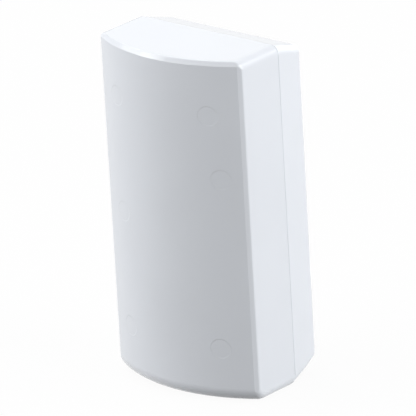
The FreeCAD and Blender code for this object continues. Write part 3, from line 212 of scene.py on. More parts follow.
class Recipe:
    """One material's node tree, with the few means that every finish uses."""

    def __init__(self, owner: bpy.types.Material | bpy.types.World | str) -> None:
        """Start with an empty tree.

        Args:
            owner: What the tree belongs to, or the name of a new material.
        """
        self.owner = bpy.data.materials.new(owner) if isinstance(owner, str) else owner
        self.owner.use_nodes = True
        self.tree = self.owner.node_tree
        self.tree.nodes.clear()

    def add(self, kind: str, settings: Mapping[str, object] | None = None,
            sockets: Mapping[str | int, object] | None = None) -> bpy.types.Node:
        """Add a node, set it up, then feed its sockets.

        Args:
            kind: The node's type.
            settings: Its properties.
            sockets: Its inputs by name or number, each a value, a signal or an output.

        Returns:
            The node.
        """
        node = self.tree.nodes.new(kind)
        for key, value in (settings or {}).items():
            setattr(node, key, value)
        for key, value in (sockets or {}).items():
            self.feed(node.inputs[key], value)
        return node

    def feed(self, target: bpy.types.NodeSocket, value: object) -> None:
        """Link or set one input.

        Args:
            target: The input.
            value: A signal, an output socket, a number, or a colour or vector.
        """
        if isinstance(value, Signal):
            value = value.socket
        if isinstance(value, bpy.types.NodeSocket):
            self.tree.links.new(value, target)
        elif target.type == "RGBA":
            target.default_value = (*value, 1.0)
        else:
            target.default_value = value

    def place(self, centre: Vector = Vector((0, 0, 0)), turn: Vector = Vector((0, 0, 0)),
              stretch: Vector = Vector((1, 1, 1))) -> bpy.types.NodeSocket:
        """Give Object coordinates measured from a centre.

        Args:
            centre: The point that becomes zero.
            turn: Angles about the three axes.
            stretch: Scale along the three axes.

        Returns:
            The vector output.
        """
        coordinates = self.add("ShaderNodeTexCoord")
        moved = self.add("ShaderNodeVectorMath", {"operation": "SUBTRACT"},
                         {0: coordinates.outputs["Object"], 1: centre})
        return self.add("ShaderNodeMapping", None,
                        {"Vector": moved.outputs[0], "Rotation": turn, "Scale": stretch}).outputs[0]

    def axes(self, vector: bpy.types.NodeSocket) -> tuple[Signal, Signal, Signal]:
        """Split a vector into three signals."""
        node = self.add("ShaderNodeSeparateXYZ", None, {0: vector})
        return Signal(self, node.outputs[0]), Signal(self, node.outputs[1]), Signal(self, node.outputs[2])

    def facing(self) -> tuple[Signal, Signal, Signal]:
        """Give the surface's direction in the piece's own frame, as three signals."""
        return self.axes(self.add("ShaderNodeTexCoord").outputs["Normal"])

    def noise(self, size: float, detail: float = 2.0, stretch: Vector = Vector((1, 1, 1)),
              distortion: float = 0.0) -> Signal:
        """Give a smooth random pattern.

        Args:
            size: How wide one patch is.
            detail: How many finer layers it has.
            stretch: Scale along each axis, below 1 for long patches.
            distortion: How far the patches are bent.

        Returns:
            A signal round 0.5.
        """
        node = self.add("ShaderNodeTexNoise", None, {
            "Vector": self.place(stretch=stretch), "Scale": 1 / size, "Detail": detail, "Distortion": distortion})
        return Signal(self, node.outputs["Fac"])

    def mix(self, mask: Signal, low: object, high: object) -> bpy.types.NodeSocket:
        """Blend two colours.

        Args:
            mask: Where the second colour shows.
            low: The colour where the mask is 0.
            high: The colour where the mask is 1.

        Returns:
            The colour output.
        """
        node = self.add("ShaderNodeMix", {"data_type": "RGBA"}, {0: mask, 6: low, 7: high})
        return node.outputs[2]

    def bump(self, height: Signal, depth: float, strength: float = 1.0,
             below: bpy.types.NodeSocket | None = None) -> bpy.types.NodeSocket:
        """Turn a height into a bent normal.

        Args:
            height: The relief, from 0 to 1.
            depth: What 1 stands for.
            strength: How much of it shows.
            below: A normal that this relief lies on.

        Returns:
            The normal output.
        """
        sockets: dict[str | int, object] = {"Height": height, "Distance": depth, "Strength": strength}
        if below:
            sockets["Normal"] = below
        return self.add("ShaderNodeBump", None, sockets).outputs[0]

    def close(self, kind: str, surface: bpy.types.NodeSocket) -> None:
        """Join a shader to the tree's output.

        Args:
            kind: The output node's type.
            surface: The shader's output.
        """
        self.tree.links.new(surface, self.add(kind).inputs["Surface"])

    def finish(self, **sockets: object) -> bpy.types.Material:
        """Close the recipe with its main shader.

        Args:
            sockets: The shader's inputs, with underscores for the spaces in their names.

        Returns:
            The material.
        """
        named = {key.replace("_", " "): value for key, value in sockets.items()}
        shader = self.add("ShaderNodeBsdfPrincipled", None, named)
        self.close("ShaderNodeOutputMaterial", shader.outputs[0])
        return self.owner


# Finishes


@dataclass(frozen=True)
class MouldedShell:
    """Satin white housing plastic with a fine spark-eroded grain and pin marks on its hidden side."""

    colour: Colour = (0.800, 0.832, 0.885)
    roughness: float = 0.5
    sheen: float = 0.2
    gloss: float = 1.0
    gloss_roughness: float = 0.06
    grain: float = 0.00022
    grain_depth: float = 0.0000035
    flow: float = 0.016
    pin_radius: float = 0.0022
    pin_depth: float = 0.00006

    def material(self, name: str, pins: Sequence[Place], pins_from: float, pins_to: float) -> bpy.types.Material:
        """Make the plastic.

        Args:
            name: The material's name.
            pins: X and Z of the ejector pins that touched the hidden side.
            pins_from: Front limit in Y of the surface that carries the marks.
            pins_to: Its rear limit.

        Returns:
            The material.
        """
        recipe = Recipe(name)
        x, y, z = recipe.axes(recipe.place())
        flow = recipe.noise(self.flow, 1.0)
        grain = recipe.noise(self.grain, 2.0)
        marks = None
        for pin_x, pin_z in pins:
            reach = (x - pin_x).length_with(z - pin_z)
            mark = reach.spread(self.pin_radius, self.pin_radius * 0.94)
            marks = mark if marks is None else marks.either(mark)
        marks = marks.both(y.between(pins_from, pins_to, 0.0002))
        darker = tuple(value * 0.985 for value in self.colour)
        relief = recipe.bump(grain, self.grain_depth, 0.5)
        return recipe.finish(
            Base_Color=recipe.mix(flow.spread(0.3, 0.7), self.colour, darker),
            Roughness=self.roughness + flow * 0.03 + (grain - 0.5) * 0.03 - marks * 0.1,
            Normal=recipe.bump(marks, -self.pin_depth, 1.0, relief),
            Specular_IOR_Level=self.sheen, Coat_Weight=self.gloss, Coat_Roughness=self.gloss_roughness)


@dataclass(frozen=True)
class SmallMoulding:
    """Plain engineering plastic of the small parts, with flow marks and a matt tooth."""

    colour: Colour
    roughness: float = 0.45
    mottle: float = 0.12
    grain: float = 0.00012
    grain_depth: float = 0.000004
    coat: float = 0.0

    def recipe_parts(self, recipe: Recipe) -> tuple[bpy.types.NodeSocket, Signal, bpy.types.NodeSocket]:
        """Lay out the plastic for a finish that goes on to mask it.

        Args:
            recipe: The recipe to add to.

        Returns:
            Its colour, roughness and normal.
        """
        patches = recipe.noise(0.0018, 3.0)
        grain = recipe.noise(self.grain, 2.0)
        lighter = tuple(min(1.0, value * (1 + self.mottle)) for value in self.colour)
        colour = recipe.mix(patches.spread(0.25, 0.75), self.colour, lighter)
        return colour, self.roughness + (grain - 0.5) * 0.2, recipe.bump(grain, self.grain_depth, 0.6)

    def material(self, name: str) -> bpy.types.Material:
        """Make the plastic.

        Args:
            name: The material's name.

        Returns:
            The material.
        """
        recipe = Recipe(name)
        colour, roughness, normal = self.recipe_parts(recipe)
        return recipe.finish(Base_Color=colour, Roughness=roughness, Normal=normal, Coat_Weight=self.coat,
                             Coat_Roughness=0.2)


@dataclass(frozen=True)
class Metal:
    """Bare or plated metal with drawing lines along one axis and faint handling stains."""

    colour: Colour
    roughness: float = 0.28
    lines: Vector = Vector((1, 1, 1))
    line_size: float = 0.00015
    line_depth: float = 0.000003
    stain: float = 0.12

    def recipe_parts(self, recipe: Recipe) -> tuple[bpy.types.NodeSocket, Signal, bpy.types.NodeSocket]:
        """Lay out the metal for a finish that goes on to mask it.

        Args:
            recipe: The recipe to add to.

        Returns:
            Its colour, roughness and normal.
        """
        drawn = recipe.noise(self.line_size, 2.0, self.lines)
        stains = recipe.noise(0.003, 3.0, distortion=0.4)
        dull = tuple(value * (1 - self.stain) for value in self.colour)
        colour = recipe.mix(stains.spread(0.45, 0.75), self.colour, dull)
        roughness = self.roughness + (drawn - 0.5) * 0.14 + stains.spread(0.5, 0.8) * 0.08
        return colour, roughness, recipe.bump(drawn, self.line_depth, 0.7)

    def material(self, name: str) -> bpy.types.Material:
        """Make the metal.

        Args:
            name: The material's name.

        Returns:
            The material.
        """
        recipe = Recipe(name)
        colour, roughness, normal = self.recipe_parts(recipe)
        return recipe.finish(Base_Color=colour, Roughness=roughness, Normal=normal, Metallic=1.0)


@dataclass(frozen=True)
class TwoFinishes:
    """A part moulded or pressed from two stuffs, told apart by where they are."""

    first: SmallMoulding | Metal
    second: SmallMoulding | Metal

    def material(self, name: str, recipe: Recipe, second_shows: Signal,
                 groove: Signal | None = None) -> bpy.types.Material:
        """Blend the two finishes.

        Args:
            name: The material's name.
            recipe: The recipe in which the mask was worked out.
            second_shows: The mask of the second finish.
            groove: A mask that is pressed a little into the surface.

        Returns:
            The material.
        """
        recipe.owner.name = name
        colour, roughness, normal = self.first.recipe_parts(recipe)
        other_colour, other_roughness, _ = self.second.recipe_parts(recipe)
        metals = [float(isinstance(finish, Metal)) for finish in (self.first, self.second)]
        if groove:
            normal = recipe.bump(groove, -0.00004, 1.0, normal)
        return recipe.finish(
            Base_Color=recipe.mix(second_shows, colour, other_colour),
            Roughness=roughness * (1 - second_shows) + other_roughness * second_shows,
            Metallic=second_shows * (metals[1] - metals[0]) + metals[0],
            Normal=normal)


@dataclass(frozen=True)
class Laminate:
    """Glass-fibre board: green mask on its two faces, pale resin and fibre along its cut edges."""

    mask: Colour = (0.012, 0.135, 0.058)
    edge: Colour = (0.40, 0.37, 0.20)
    weave: float = 0.00045
    depth: float = 0.000006

    def material(self, name: str) -> bpy.types.Material:
        """Make the board.

        Args:
            name: The material's name.

        Returns:
            The material.
        """
        recipe = Recipe(name)
        x, _, z = recipe.axes(recipe.place())
        _, forward, _ = recipe.facing()
        cut = abs(forward).spread(0.8, 0.4)
        threads = math.tau / self.weave
        cloth = (x * threads).sine() * (z * threads).sine() * 0.5 + 0.5
        tone = recipe.noise(0.006, 2.0)
        lit = tuple(value * 1.35 for value in self.mask)
        face = recipe.mix((cloth * 0.35 + tone * 0.5).spread(0.2, 0.8), self.mask, lit)
        return recipe.finish(
            Base_Color=recipe.mix(cut, face, recipe.mix(recipe.noise(0.00012, 3.0), self.edge, (0.24, 0.25, 0.13))),
            Roughness=0.34 + cloth * 0.05 + cut * 0.35,
            Normal=recipe.bump(cloth, self.depth, 0.6),
            Coat_Weight=(1 - cut) * 0.35,
            Coat_Roughness=0.12)


@dataclass(frozen=True)
class ClearGlass:
    """Thin drawn glass with faint streaks."""

    colour: Colour = (0.80, 0.93, 0.88)
    roughness: float = 0.03

    def material(self, name: str, through: float = 1.0) -> bpy.types.Material:
        """Make the glass.

        Args:
            name: The material's name.
            through: How much light passes, 1 for clear glass.

        Returns:
            The material.
        """
        recipe = Recipe(name)
        streaks = recipe.noise(0.0006, 2.0, Vector((1, 1, 0.12)))
        pale = tuple(value * 0.94 for value in self.colour)
        return recipe.finish(
            Base_Color=recipe.mix(streaks, self.colour, pale), Roughness=self.roughness + streaks * 0.05,
            Normal=recipe.bump(streaks, 0.000004, 0.4), Transmission_Weight=through, IOR=1.5)


# New pieces


class Workbench:
    """Turns finished bmesh shapes into scene pieces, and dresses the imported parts."""

    def __init__(self, frame: Mapping[str, object]) -> None:
        """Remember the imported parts.
        """
        self.parts: Mapping[str, bpy.types.Object] = frame["nodes"]

    def dress(self, part: str, material: bpy.types.Material) -> None:
        """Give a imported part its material.

        Args:
            part: The part's name.
            material: Its finish.
        """
        carried = self.parts[part]
        if not carried.material_slots:
            carried.data.materials.append(material)
        for slot in carried.material_slots:
            slot.material = material
        LOG.info("dressed %s", part)

    def piece(self, name: str, shape: bmesh.types.BMesh, material: bpy.types.Material, body: Body,
              slot: str, smooth_below: float = 40.0) -> bpy.types.Object:
        """Make a shape a piece of the part.

        Args:
            name: The piece's name.
            shape: Its shape, which is freed.
            material: Its finish.
            body: The body it rides on.
            slot: The name of the record's material slot it belongs to. It is not used.
            smooth_below: Edges that turn by less than this many degrees look smooth.

        Returns:
            The piece.
        """
        bmesh.ops.remove_doubles(shape, verts=shape.verts, dist=1e-7)
        bmesh.ops.recalc_face_normals(shape, faces=shape.faces)
        for face in shape.faces:
            face.smooth = True
        for edge in shape.edges:
            edge.smooth = len(edge.link_faces) == 2 and edge.calc_face_angle(0.0) < math.radians(smooth_below)
        mesh = bpy.data.meshes.new(name)
        shape.to_mesh(mesh)
        shape.free()
        mesh.materials.append(material)
        made = bpy.data.objects.new(name, mesh)
        bpy.context.scene.collection.objects.link(made)
        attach(made, body.value)
        LOG.info("made %s with %d faces on %s", name, len(mesh.polygons), body.value)
        return made


def add_pill(shape: bmesh.types.BMesh, centre: Vector, size: Vector, segments: int = 8, rings: int = 6) -> None:
    """Add a rounded drop, such as a solder joint.

    Args:
        shape: The shape to add to.
        centre: The drop's middle.
        size: Its whole width, depth and height.
        segments: Faces round it.
        rings: Faces from pole to pole.
    """
    matrix = Matrix.Translation(centre) @ Matrix.Diagonal((*(size / 2), 1.0)) @ Matrix.Rotation(math.pi / 2, 4, "X")
    bmesh.ops.create_uvsphere(shape, u_segments=segments, v_segments=rings, radius=1.0, matrix=matrix)


def add_plate(shape: bmesh.types.BMesh, centre: Vector, size: Vector, corner: float = 0.0) -> None:
    """Add a thin plate that lies across Y, with broken upright corners.

    Args:
        shape: The shape to add to.
        centre: The plate's middle.
        size: Its width, thickness and height.
        corner: How much is cut from each corner seen from the front.
    """
    matrix = Matrix.Translation(centre) @ Matrix.Diagonal((*size, 1.0))
    made = bmesh.ops.create_cube(shape, size=1.0, matrix=matrix)
    if corner:
        across = [edge for vert in made["verts"] for edge in vert.link_edges
                  if abs((edge.verts[0].co - edge.verts[1].co).y) > size.y / 2]
        bmesh.ops.bevel(shape, geom=list(set(across)), offset=corner, offset_type="OFFSET", affect="EDGES",
                        segments=2, profile=0.5, material=-1)


def add_strip(shape: bmesh.types.BMesh, points: Sequence[Vector], width: float, height: float) -> None:
    """Add a flat strip along a line of points that lies across Y.

    Args:
        shape: The shape to add to.
        points: The strip's middle line.
        width: Its width.
        height: How far it stands towards the front.
    """
    for start, end in zip(points, points[1:]):
        along = end - start
        turn = math.atan2(along.z, along.x)
        middle = (start + end) / 2 - Vector((0, height / 2, 0))
        matrix = (Matrix.Translation(middle) @ Matrix.Rotation(-turn, 4, "Y")
                  @ Matrix.Diagonal((along.length + width * 0.8, height, width, 1.0)))
        bmesh.ops.create_cube(shape, size=1.0, matrix=matrix)


def add_ring(shape: bmesh.types.BMesh, centre: Vector, inner: float, outer: float, height: float,
             segments: int = 24) -> None:
    """Add a flat ring that faces the front.

    Args:
        shape: The shape to add to.
        centre: The middle of its rear side.
        inner: Its inner radius.
        outer: Its outer radius.
        height: Its thickness.
        segments: Faces round it.
    """
    corners = [(inner, 0.0), (outer, 0.0), (outer, -height), (inner, -height)]
    verts = [shape.verts.new(centre + Vector((radius, y, 0))) for radius, y in corners]
    edges = [shape.edges.new((verts[index - 1], verts[index])) for index in range(4)]
    bmesh.ops.spin(shape, geom=verts + edges, cent=centre, axis=(0, 1, 0), angle=math.tau, steps=segments,
                   use_merge=True, use_normal_flip=False, use_duplicate=False)


@dataclass
class Housing:
    """The two white shells."""

    bench: Workbench
    cover_pins: tuple[Place, ...] = ((-0.0125, 0.026), (0.0125, 0.026), (-0.0125, -0.026), (0.0125, -0.026),
                                     (-0.0125, 0.0), (0.0145, 0.012))
    base_pins: tuple[Place, ...] = ((-0.012, 0.012), (0.012, 0.012), (-0.012, -0.012), (0.012, -0.012))

    def build(self) -> None:
        """Give both shells their plastic."""
        plastic = MouldedShell()
        self.bench.dress("front_cover", plastic.material("white_cover_plastic", self.cover_pins, -0.0252, -0.0188))
        self.bench.dress("rear_base", plastic.material("white_base_plastic", self.base_pins, -0.0030, -0.0015))


@dataclass
class Battery:
    """The lithium cell in its plain sleeve, its cradle and its two contacts."""

    bench: Workbench
    sleeve_thickness: float = 0.00012
    sleeve_lap: float = 0.0014
    sleeve_edge_r: float = 0.0008
    band_height: float = 0.0042

    def build(self) -> None:
        """Dress the cell, wrap it and dress what holds it."""
        low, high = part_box("battery_cell")
        self.bench.dress("battery_cell", Metal((0.66, 0.65, 0.62), 0.24, Vector((1, 1, 0.1))).material("cell_steel"))
        self.bench.dress("battery_holder", SmallMoulding((0.020, 0.021, 0.023), 0.5).material("cradle_plastic"))
        spring_steel = Metal((0.70, 0.68, 0.63), 0.22, Vector((1, 1, 0.15)))
        for part in ("battery_contact_positive", "battery_contact_negative"):
            self.bench.dress(part, spring_steel.material(part + "_plating"))
        axis = Vector(((low.x + high.x) / 2, (low.y + high.y) / 2, 0))
        self._wrap(axis, (high.x - low.x) / 2, low.z, high.z - 0.001)

    def _wrap(self, axis: Vector, radius: float, bottom: float, shoulder: float) -> None:
        """Make the shrunk sleeve, which turns in over both ends of the cell.

        Args:
            axis: The cell's middle line.
            radius: The cell's radius.
            bottom: Its lower end.
            shoulder: Its upper end without the raised contact.
        """
        shape = bmesh.new()
        lift = self.sleeve_thickness
        rows: list[tuple[float, float]] = []
        steps = 5
        for end, sign in ((bottom, -1), (shoulder, 1)):
            rim = [(radius - self.sleeve_lap, end + sign * lift)]
            for step in range(steps + 1):
                angle = math.pi / 2 * (1 - step / steps)
                bend = self.sleeve_edge_r
                rim.append((radius - bend + (bend + lift) * math.cos(angle),
                            end - sign * bend + sign * (bend + lift) * math.sin(angle)))
            rows.extend(rim if sign < 0 else reversed(rim))
        verts = [shape.verts.new(axis + Vector((reach, 0, z))) for reach, z in rows]
        edges = [shape.edges.new(pair) for pair in zip(verts, verts[1:])]
        bmesh.ops.spin(shape, geom=verts + edges, cent=axis, axis=(0, 0, 1), angle=math.tau, steps=64,
                       use_merge=True, use_normal_flip=False, use_duplicate=False)
        bmesh.ops.recalc_face_normals(shape, faces=shape.faces)
        bmesh.ops.solidify(shape, geom=shape.faces, thickness=lift * 0.8)
        self.bench.piece("battery_sleeve", shape, self._sleeve_finish(bottom, shoulder), Body.BASE, "battery_cell")

    def _sleeve_finish(self, bottom: float, shoulder: float) -> bpy.types.Material:
        """Make the sleeve's plain two-tone film.

        Args:
            bottom: The cell's lower end.
            shoulder: Its upper end.

        Returns:
            The material.
        """
        recipe = Recipe("sleeve_film")
        _, _, z = recipe.axes(recipe.place())
        film = SmallMoulding((0.030, 0.085, 0.19), 0.3, mottle=0.05, grain=0.0006, grain_depth=0.000008)
        colour, roughness, normal = film.recipe_parts(recipe)
        top = z.spread(shoulder - self.band_height - 0.00005, shoulder - self.band_height + 0.00005)
        line = z.between(shoulder - self.band_height - 0.0012, shoulder - self.band_height - 0.0006, 0.00005)
        foot = z.between(bottom + 0.0016, bottom + 0.0020, 0.00005)
        banded = recipe.mix(top.either(line).either(foot), colour, (0.72, 0.73, 0.72))
        return recipe.finish(Base_Color=banded, Roughness=roughness, Normal=normal, Coat_Weight=0.4,
                             Coat_Roughness=0.15)


@dataclass
class Board:
    """The circuit board with its tracks, pads, printed outlines and fixings."""

    bench: Workbench
    track_height: float = 0.00004
    pad_height: float = 0.00005
    ink_height: float = 0.00003

    def build(self) -> None:
        """Dress the board and lay on what is printed and plated."""
        low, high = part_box("circuit_board")
        self.front = low.y
        self.back = high.y
        self.bench.dress("circuit_board", Laminate().material("board_laminate"))
        self.bench.dress("board_screws", Metal((0.60, 0.60, 0.58), 0.3).material("screw_zinc"))
        self._tracks()
        self._pads()
        self._outlines()

    def _at(self, x: float, z: float) -> Vector:
        """Give the point of the board's front face at x and z in millimetres."""
        return Vector((x * MM, self.front, z * MM))

    def _tracks(self) -> None:
        """Lay the copper tracks under the mask, on the face that shows."""
        shape = bmesh.new()
        routes = (
            (0.3, ((-4.2, -14.0), (-5.0, -14.0), (-5.8, -14.8), (-5.8, -20.6))),
            (0.3, ((-9.2, -14.0), (-10.6, -14.0), (-11.4, -14.8), (-11.4, -26.2), (-9.2, -27.2))),
            (0.3, ((-9.2, -15.3), (-10.2, -15.3), (-10.6, -15.7), (-10.6, -23.4), (-9.4, -23.4))),
            (0.3, ((-9.2, -18.5), (-12.4, -18.5), (-12.8, -18.9), (-12.8, -27.0), (-14.4, -28.2))),
            (0.3, ((-9.2, -20.0), (-9.6, -21.4), (-9.6, -22.6))),
            (0.4, ((-8.2, -11.4), (-10.6, -11.4), (-11.6, -10.4), (-11.6, 3.6), (-10.2, 5.9))),
            (0.3, ((-8.0, -9.6), (-9.0, -8.6), (-12.2, -8.6), (-12.6, -8.2), (-12.6, 7.6), (-12.0, 9.0),
                   (-12.0, 17.4))),
            (0.3, ((-5.2, 6.0), (-4.4, 6.8), (-4.4, 15.0), (-5.0, 17.6))),
            (0.3, ((-7.8, 7.2), (-7.8, 13.4), (-9.6, 15.2), (-9.6, 18.6))),
            (0.3, ((-13.2, 4.4), (-14.6, 5.8), (-14.6, 18.0), (-15.0, 19.6), (-15.0, 24.4), (-12.6, 26.8))),
            (0.6, ((11.2, 9.9), (8.4, 12.2), (3.4, 12.2), (1.0, 14.6), (1.0, 17.8))),
            (0.6, ((13.4, 17.6), (14.6, 16.4), (14.6, 14.6))),
            (0.3, ((-1.4, 11.0), (-1.4, 14.2), (0.2, 15.8), (0.2, 19.4))),
            (0.8, ((3.5, 21.5), (-0.4, 21.5), (-1.2, 22.3), (-1.2, 24.4), (-3.9, 26.4))),
            (0.8, ((11.3, 21.5), (12.4, 21.5), (13.4, 22.5), (13.4, 24.2))),
            (0.4, ((-0.6, 20.4), (3.5, 18.2), (6.0, 18.2))),
            (0.4, ((4.7, -28.6), (4.7, -25.4), (6.6, -23.6))),
            (0.4, ((9.4, -28.6), (9.4, -26.6), (11.4, -24.6), (13.6, -24.6))),
        )
        for width, places in routes:
            add_strip(shape, [self._at(x, z) for x, z in places], width * MM, self.track_height)
            for x, z in (places[0], places[-1]):
                add_ring(shape, self._at(x, z), 0.00018, 0.00042, self.track_height, 12)
        film = SmallMoulding((0.030, 0.235, 0.105), 0.32, mottle=0.2, coat=0.3)
        self.bench.piece("board_tracks", shape, film.material("masked_copper"), Body.BASE, "circuit_board")

    def _pads(self) -> None:
        """Lay the tinned pads round the leads and the screw and peg holes."""
        shape = bmesh.new()
        for x, z in ((-13.7, 30.95), (13.7, -29.75), (-13.7, -29.75), (14.2, 12.25)):
            add_ring(shape, self._at(x, z), 0.0014, 0.00185, self.pad_height, 32)
        for part, width, height in (("chip_capacitors", 1.45, 0.75), ("chip_resistors", 1.45, 0.75)):
            low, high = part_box(part)
            for step in (-1, 0, 1):
                for z in (low.z + 0.0001, high.z - 0.0001):
                    x = (low.x + high.x) / 2 + step * 0.0023
                    add_plate(shape, Vector((x, self.front - self.pad_height / 2, z)),
                              Vector((width * MM, self.pad_height, height * MM)), 0.0001)
        for x, z in self._feet():
            add_plate(shape, Vector((x, self.front - self.pad_height / 2, z)),
                      Vector((0.0014, self.pad_height, 0.0012)), 0.0002)
        for x, z in ((-1.6, 5.6), (0.8, 10.2), (12.8, 21.2), (-2.0, 26.6), (-5.6, 12.0), (-6.4, 9.4), (14.4, -20.0),
                     (14.6, -6.0), (14.6, 2.4)):
            add_ring(shape, self._at(x, z), 0.0004, 0.0008, self.pad_height, 16)
        tin = Metal((0.74, 0.74, 0.72), 0.26)
        self.bench.piece("board_pads", shape, tin.material("tinned_pads"), Body.BASE, "circuit_board")

    def _feet(self) -> list[Place]:
        """Give the places, in metres, where legs of the two push switches meet the board."""
        places: list[Place] = []
        for part in ("tamper_switch_body", "learn_button_body"):
            low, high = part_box(part)
            middle = (low.z + high.z) / 2
            for x in (low.x + 0.0001, high.x - 0.0001):
                for side in (-1, 1):
                    places.append((x, middle + side * 0.0018))
        return places

    def _outlines(self) -> None:
        """Print the white outlines round the parts."""
        shape = bmesh.new()
        ink = 0.00016
        for part, margin in (("microcontroller", 0.5), ("crystal", 0.5), ("radio_shield", 0.45),
                             ("electrolytic_capacitor", 0.45), ("status_led", 0.45), ("antenna_coil", 0.8),
                             ("voltage_regulator", 0.4), ("terminal_block", 0.4), ("tamper_switch_body", 0.35),
                             ("learn_button_body", 0.35)):
            low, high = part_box(part)
            edge = margin * MM
            left, right = low.x - edge, high.x + edge
            bottom, top = low.z - edge, high.z + edge
            cut = min(right - left, top - bottom) * 0.28
            for x, way in ((left, 1), (right, -1)):
                for z, rise in ((bottom, 1), (top, -1)):
                    corner = Vector((x, self.front, z))
                    add_strip(shape, (corner + Vector((way * cut, 0, 0)), corner, corner + Vector((0, 0, rise * cut))),
                              ink, self.ink_height)
        low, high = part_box("microcontroller")
        add_ring(shape, Vector((low.x - 0.0008, self.front, high.z - 0.0006)), 0.00008, 0.0003, self.ink_height, 12)
        paint = SmallMoulding((0.74, 0.75, 0.73), 0.6, mottle=0.05)
        self.bench.piece("board_outlines", shape, paint.material("white_ink"), Body.BASE, "circuit_board")


@dataclass
class Components:
    """Everything that is soldered to the board, and its solder."""

    bench: Workbench
    tin: Metal = Metal((0.78, 0.78, 0.76), 0.25)
    epoxy: SmallMoulding = SmallMoulding((0.016, 0.016, 0.018), 0.52, mottle=0.5)

    def build(self) -> None:
        """Dress each component, then run its solder."""
        self._switches()
        self._reed()
        self._terminals()
        self._radio()
        self._chips()
        self._capacitor()
        self._small_parts()
        self._solder()

    def _switches(self) -> None:
        """Dress the tamper switch and the learn button: plastic wells with a pressed metal lid."""
        lid = Metal((0.62, 0.62, 0.60), 0.3, Vector((1, 1, 0.2)))
        for part, legs in (("tamper_switch_body", 0.0031), ("learn_button_body", 0.0031)):
            low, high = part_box(part)
            middle = (low + high) / 2
            recipe = Recipe(part)
            x, y, z = recipe.axes(recipe.place(middle))
            depth = (high.y - low.y) / 2
            top = y.spread(-depth + 0.00042, -depth + 0.00038)
            rivets = None
            for side_x in (-1, 1):
                for side_z in (-1, 1):
                    rivet = (x - side_x * 0.0023).length_with(z - side_z * 0.0023).spread(0.00042, 0.00036)
                    rivets = rivet if rivets is None else rivets.either(rivet)
            metal = top.both(1 - rivets).either(abs(x).spread(legs - 0.00005, legs + 0.00005))
            blend = TwoFinishes(SmallMoulding((0.022, 0.022, 0.024), 0.5), lid)
            self.bench.dress(part, blend.material(part + "_finish", recipe, metal, rivets.both(top)))
        self.bench.dress("tamper_switch_plunger",
                         SmallMoulding((0.70, 0.70, 0.67), 0.4, mottle=0.04).material("plunger_plastic"))
        self.bench.dress("learn_button_cap",
                         SmallMoulding((0.025, 0.025, 0.027), 0.38, mottle=0.3).material("learn_cap_plastic"))

    def _reed(self) -> None:
        """Dress the reed switch."""
        self.bench.dress("reed_switch_glass", ClearGlass().material("reed_glass"))
        self.bench.dress("reed_switch_leads", Metal((0.72, 0.71, 0.68), 0.22, Vector((1, 1, 0.1))).material("reed_plating"))

    def _terminals(self) -> None:
        """Dress the terminal block."""
        body = SmallMoulding((0.015, 0.085, 0.33), 0.36, mottle=0.1, coat=0.15)
        self.bench.dress("terminal_block", body.material("terminal_plastic"))
        self.bench.dress("terminal_clamps", self.tin.material("clamp_tin"))
        self.bench.dress("terminal_screws", Metal((0.62, 0.60, 0.52), 0.3).material("terminal_screw_zinc"))

    def _radio(self) -> None:
        """Dress the shielded radio section and its wire coil."""
        self.bench.dress("radio_shield", Metal((0.70, 0.70, 0.68), 0.3, Vector((0.12, 1, 1)), 0.0002).material("shield_tin"))
        self.bench.dress("radio_chip", self.epoxy.material("radio_epoxy"))
        wire = Metal((0.72, 0.30, 0.11), 0.2, stain=0.2)
        self.bench.dress("antenna_coil", wire.material("enamelled_copper"))

    def _chips(self) -> None:
        """Dress the controller and the regulator: epoxy with bright legs and a round mark at one corner."""
        for part, half in (("microcontroller", 0.0017), ("voltage_regulator", 0.00075)):
            low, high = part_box(part)
            recipe = Recipe(part)
            x, _, z = recipe.axes(recipe.place((low + high) / 2))
            legs = abs(x).spread(half, half + 0.00004)
            dot = (x + half * 0.62).length_with(z - (high.z - low.z) / 2 + 0.0008).spread(0.00034, 0.0003)
            blend = TwoFinishes(self.epoxy, self.tin)
            self.bench.dress(part, blend.material(part + "_finish", recipe, legs, dot))

    def _capacitor(self) -> None:
        """Dress the can capacitor: bright sleeve, dark base and a dark segment on its top."""
        low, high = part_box("electrolytic_capacitor")
        recipe = Recipe("capacitor")
        x, y, _ = recipe.axes(recipe.place(Vector(((low.x + high.x) / 2, high.y, (low.z + high.z) / 2))))
        foot = y.spread(-0.00102, -0.00098)
        segment = x.spread(0.00118, 0.00122).both(y.spread(-0.0069, -0.0070))
        can = Metal((0.74, 0.74, 0.74), 0.3, Vector((1, 0.1, 1)))
        blend = TwoFinishes(can, SmallMoulding((0.02, 0.02, 0.022), 0.5))
        self.bench.dress("electrolytic_capacitor",
                         blend.material("capacitor_finish", recipe, foot.either(segment)))

    def _small_parts(self) -> None:
        """Dress the crystal, the light and the two rows of small chips."""
        self.bench.dress("crystal", Metal((0.74, 0.73, 0.70), 0.2, Vector((0.1, 1, 1))).material("crystal_lid"))
        low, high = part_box("status_led")
        recipe = Recipe("status_led")
        x, y, _ = recipe.axes(recipe.place(Vector(((low.x + high.x) / 2, high.y, 0))))
        lens = y.spread(-0.00058, -0.00062)
        glow = recipe.noise(0.0005, 2.0)
        inner = recipe.mix(glow, (0.90, 0.42, 0.34), (0.95, 0.60, 0.52))
        ends = recipe.mix(abs(x).spread(0.0012, 0.00124), (0.78, 0.77, 0.72), (0.66, 0.65, 0.62))
        self.bench.dress("status_led", recipe.finish(
            Base_Color=recipe.mix(lens, ends, inner), Roughness=0.45 - lens * 0.33, Coat_Weight=lens * 0.6,
            Normal=recipe.bump(glow, 0.000004, 0.4)))
        for part, colour in (("chip_capacitors", (0.40, 0.27, 0.15)), ("chip_resistors", (0.018, 0.018, 0.02))):
            low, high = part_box(part)
            recipe = Recipe(part)
            _, _, z = recipe.axes(recipe.place((low + high) / 2))
            metal = abs(z).spread(0.00058, 0.00062)
            blend = TwoFinishes(SmallMoulding(colour, 0.35, mottle=0.25), self.tin)
            self.bench.dress(part, blend.material(part + "_finish", recipe, metal))

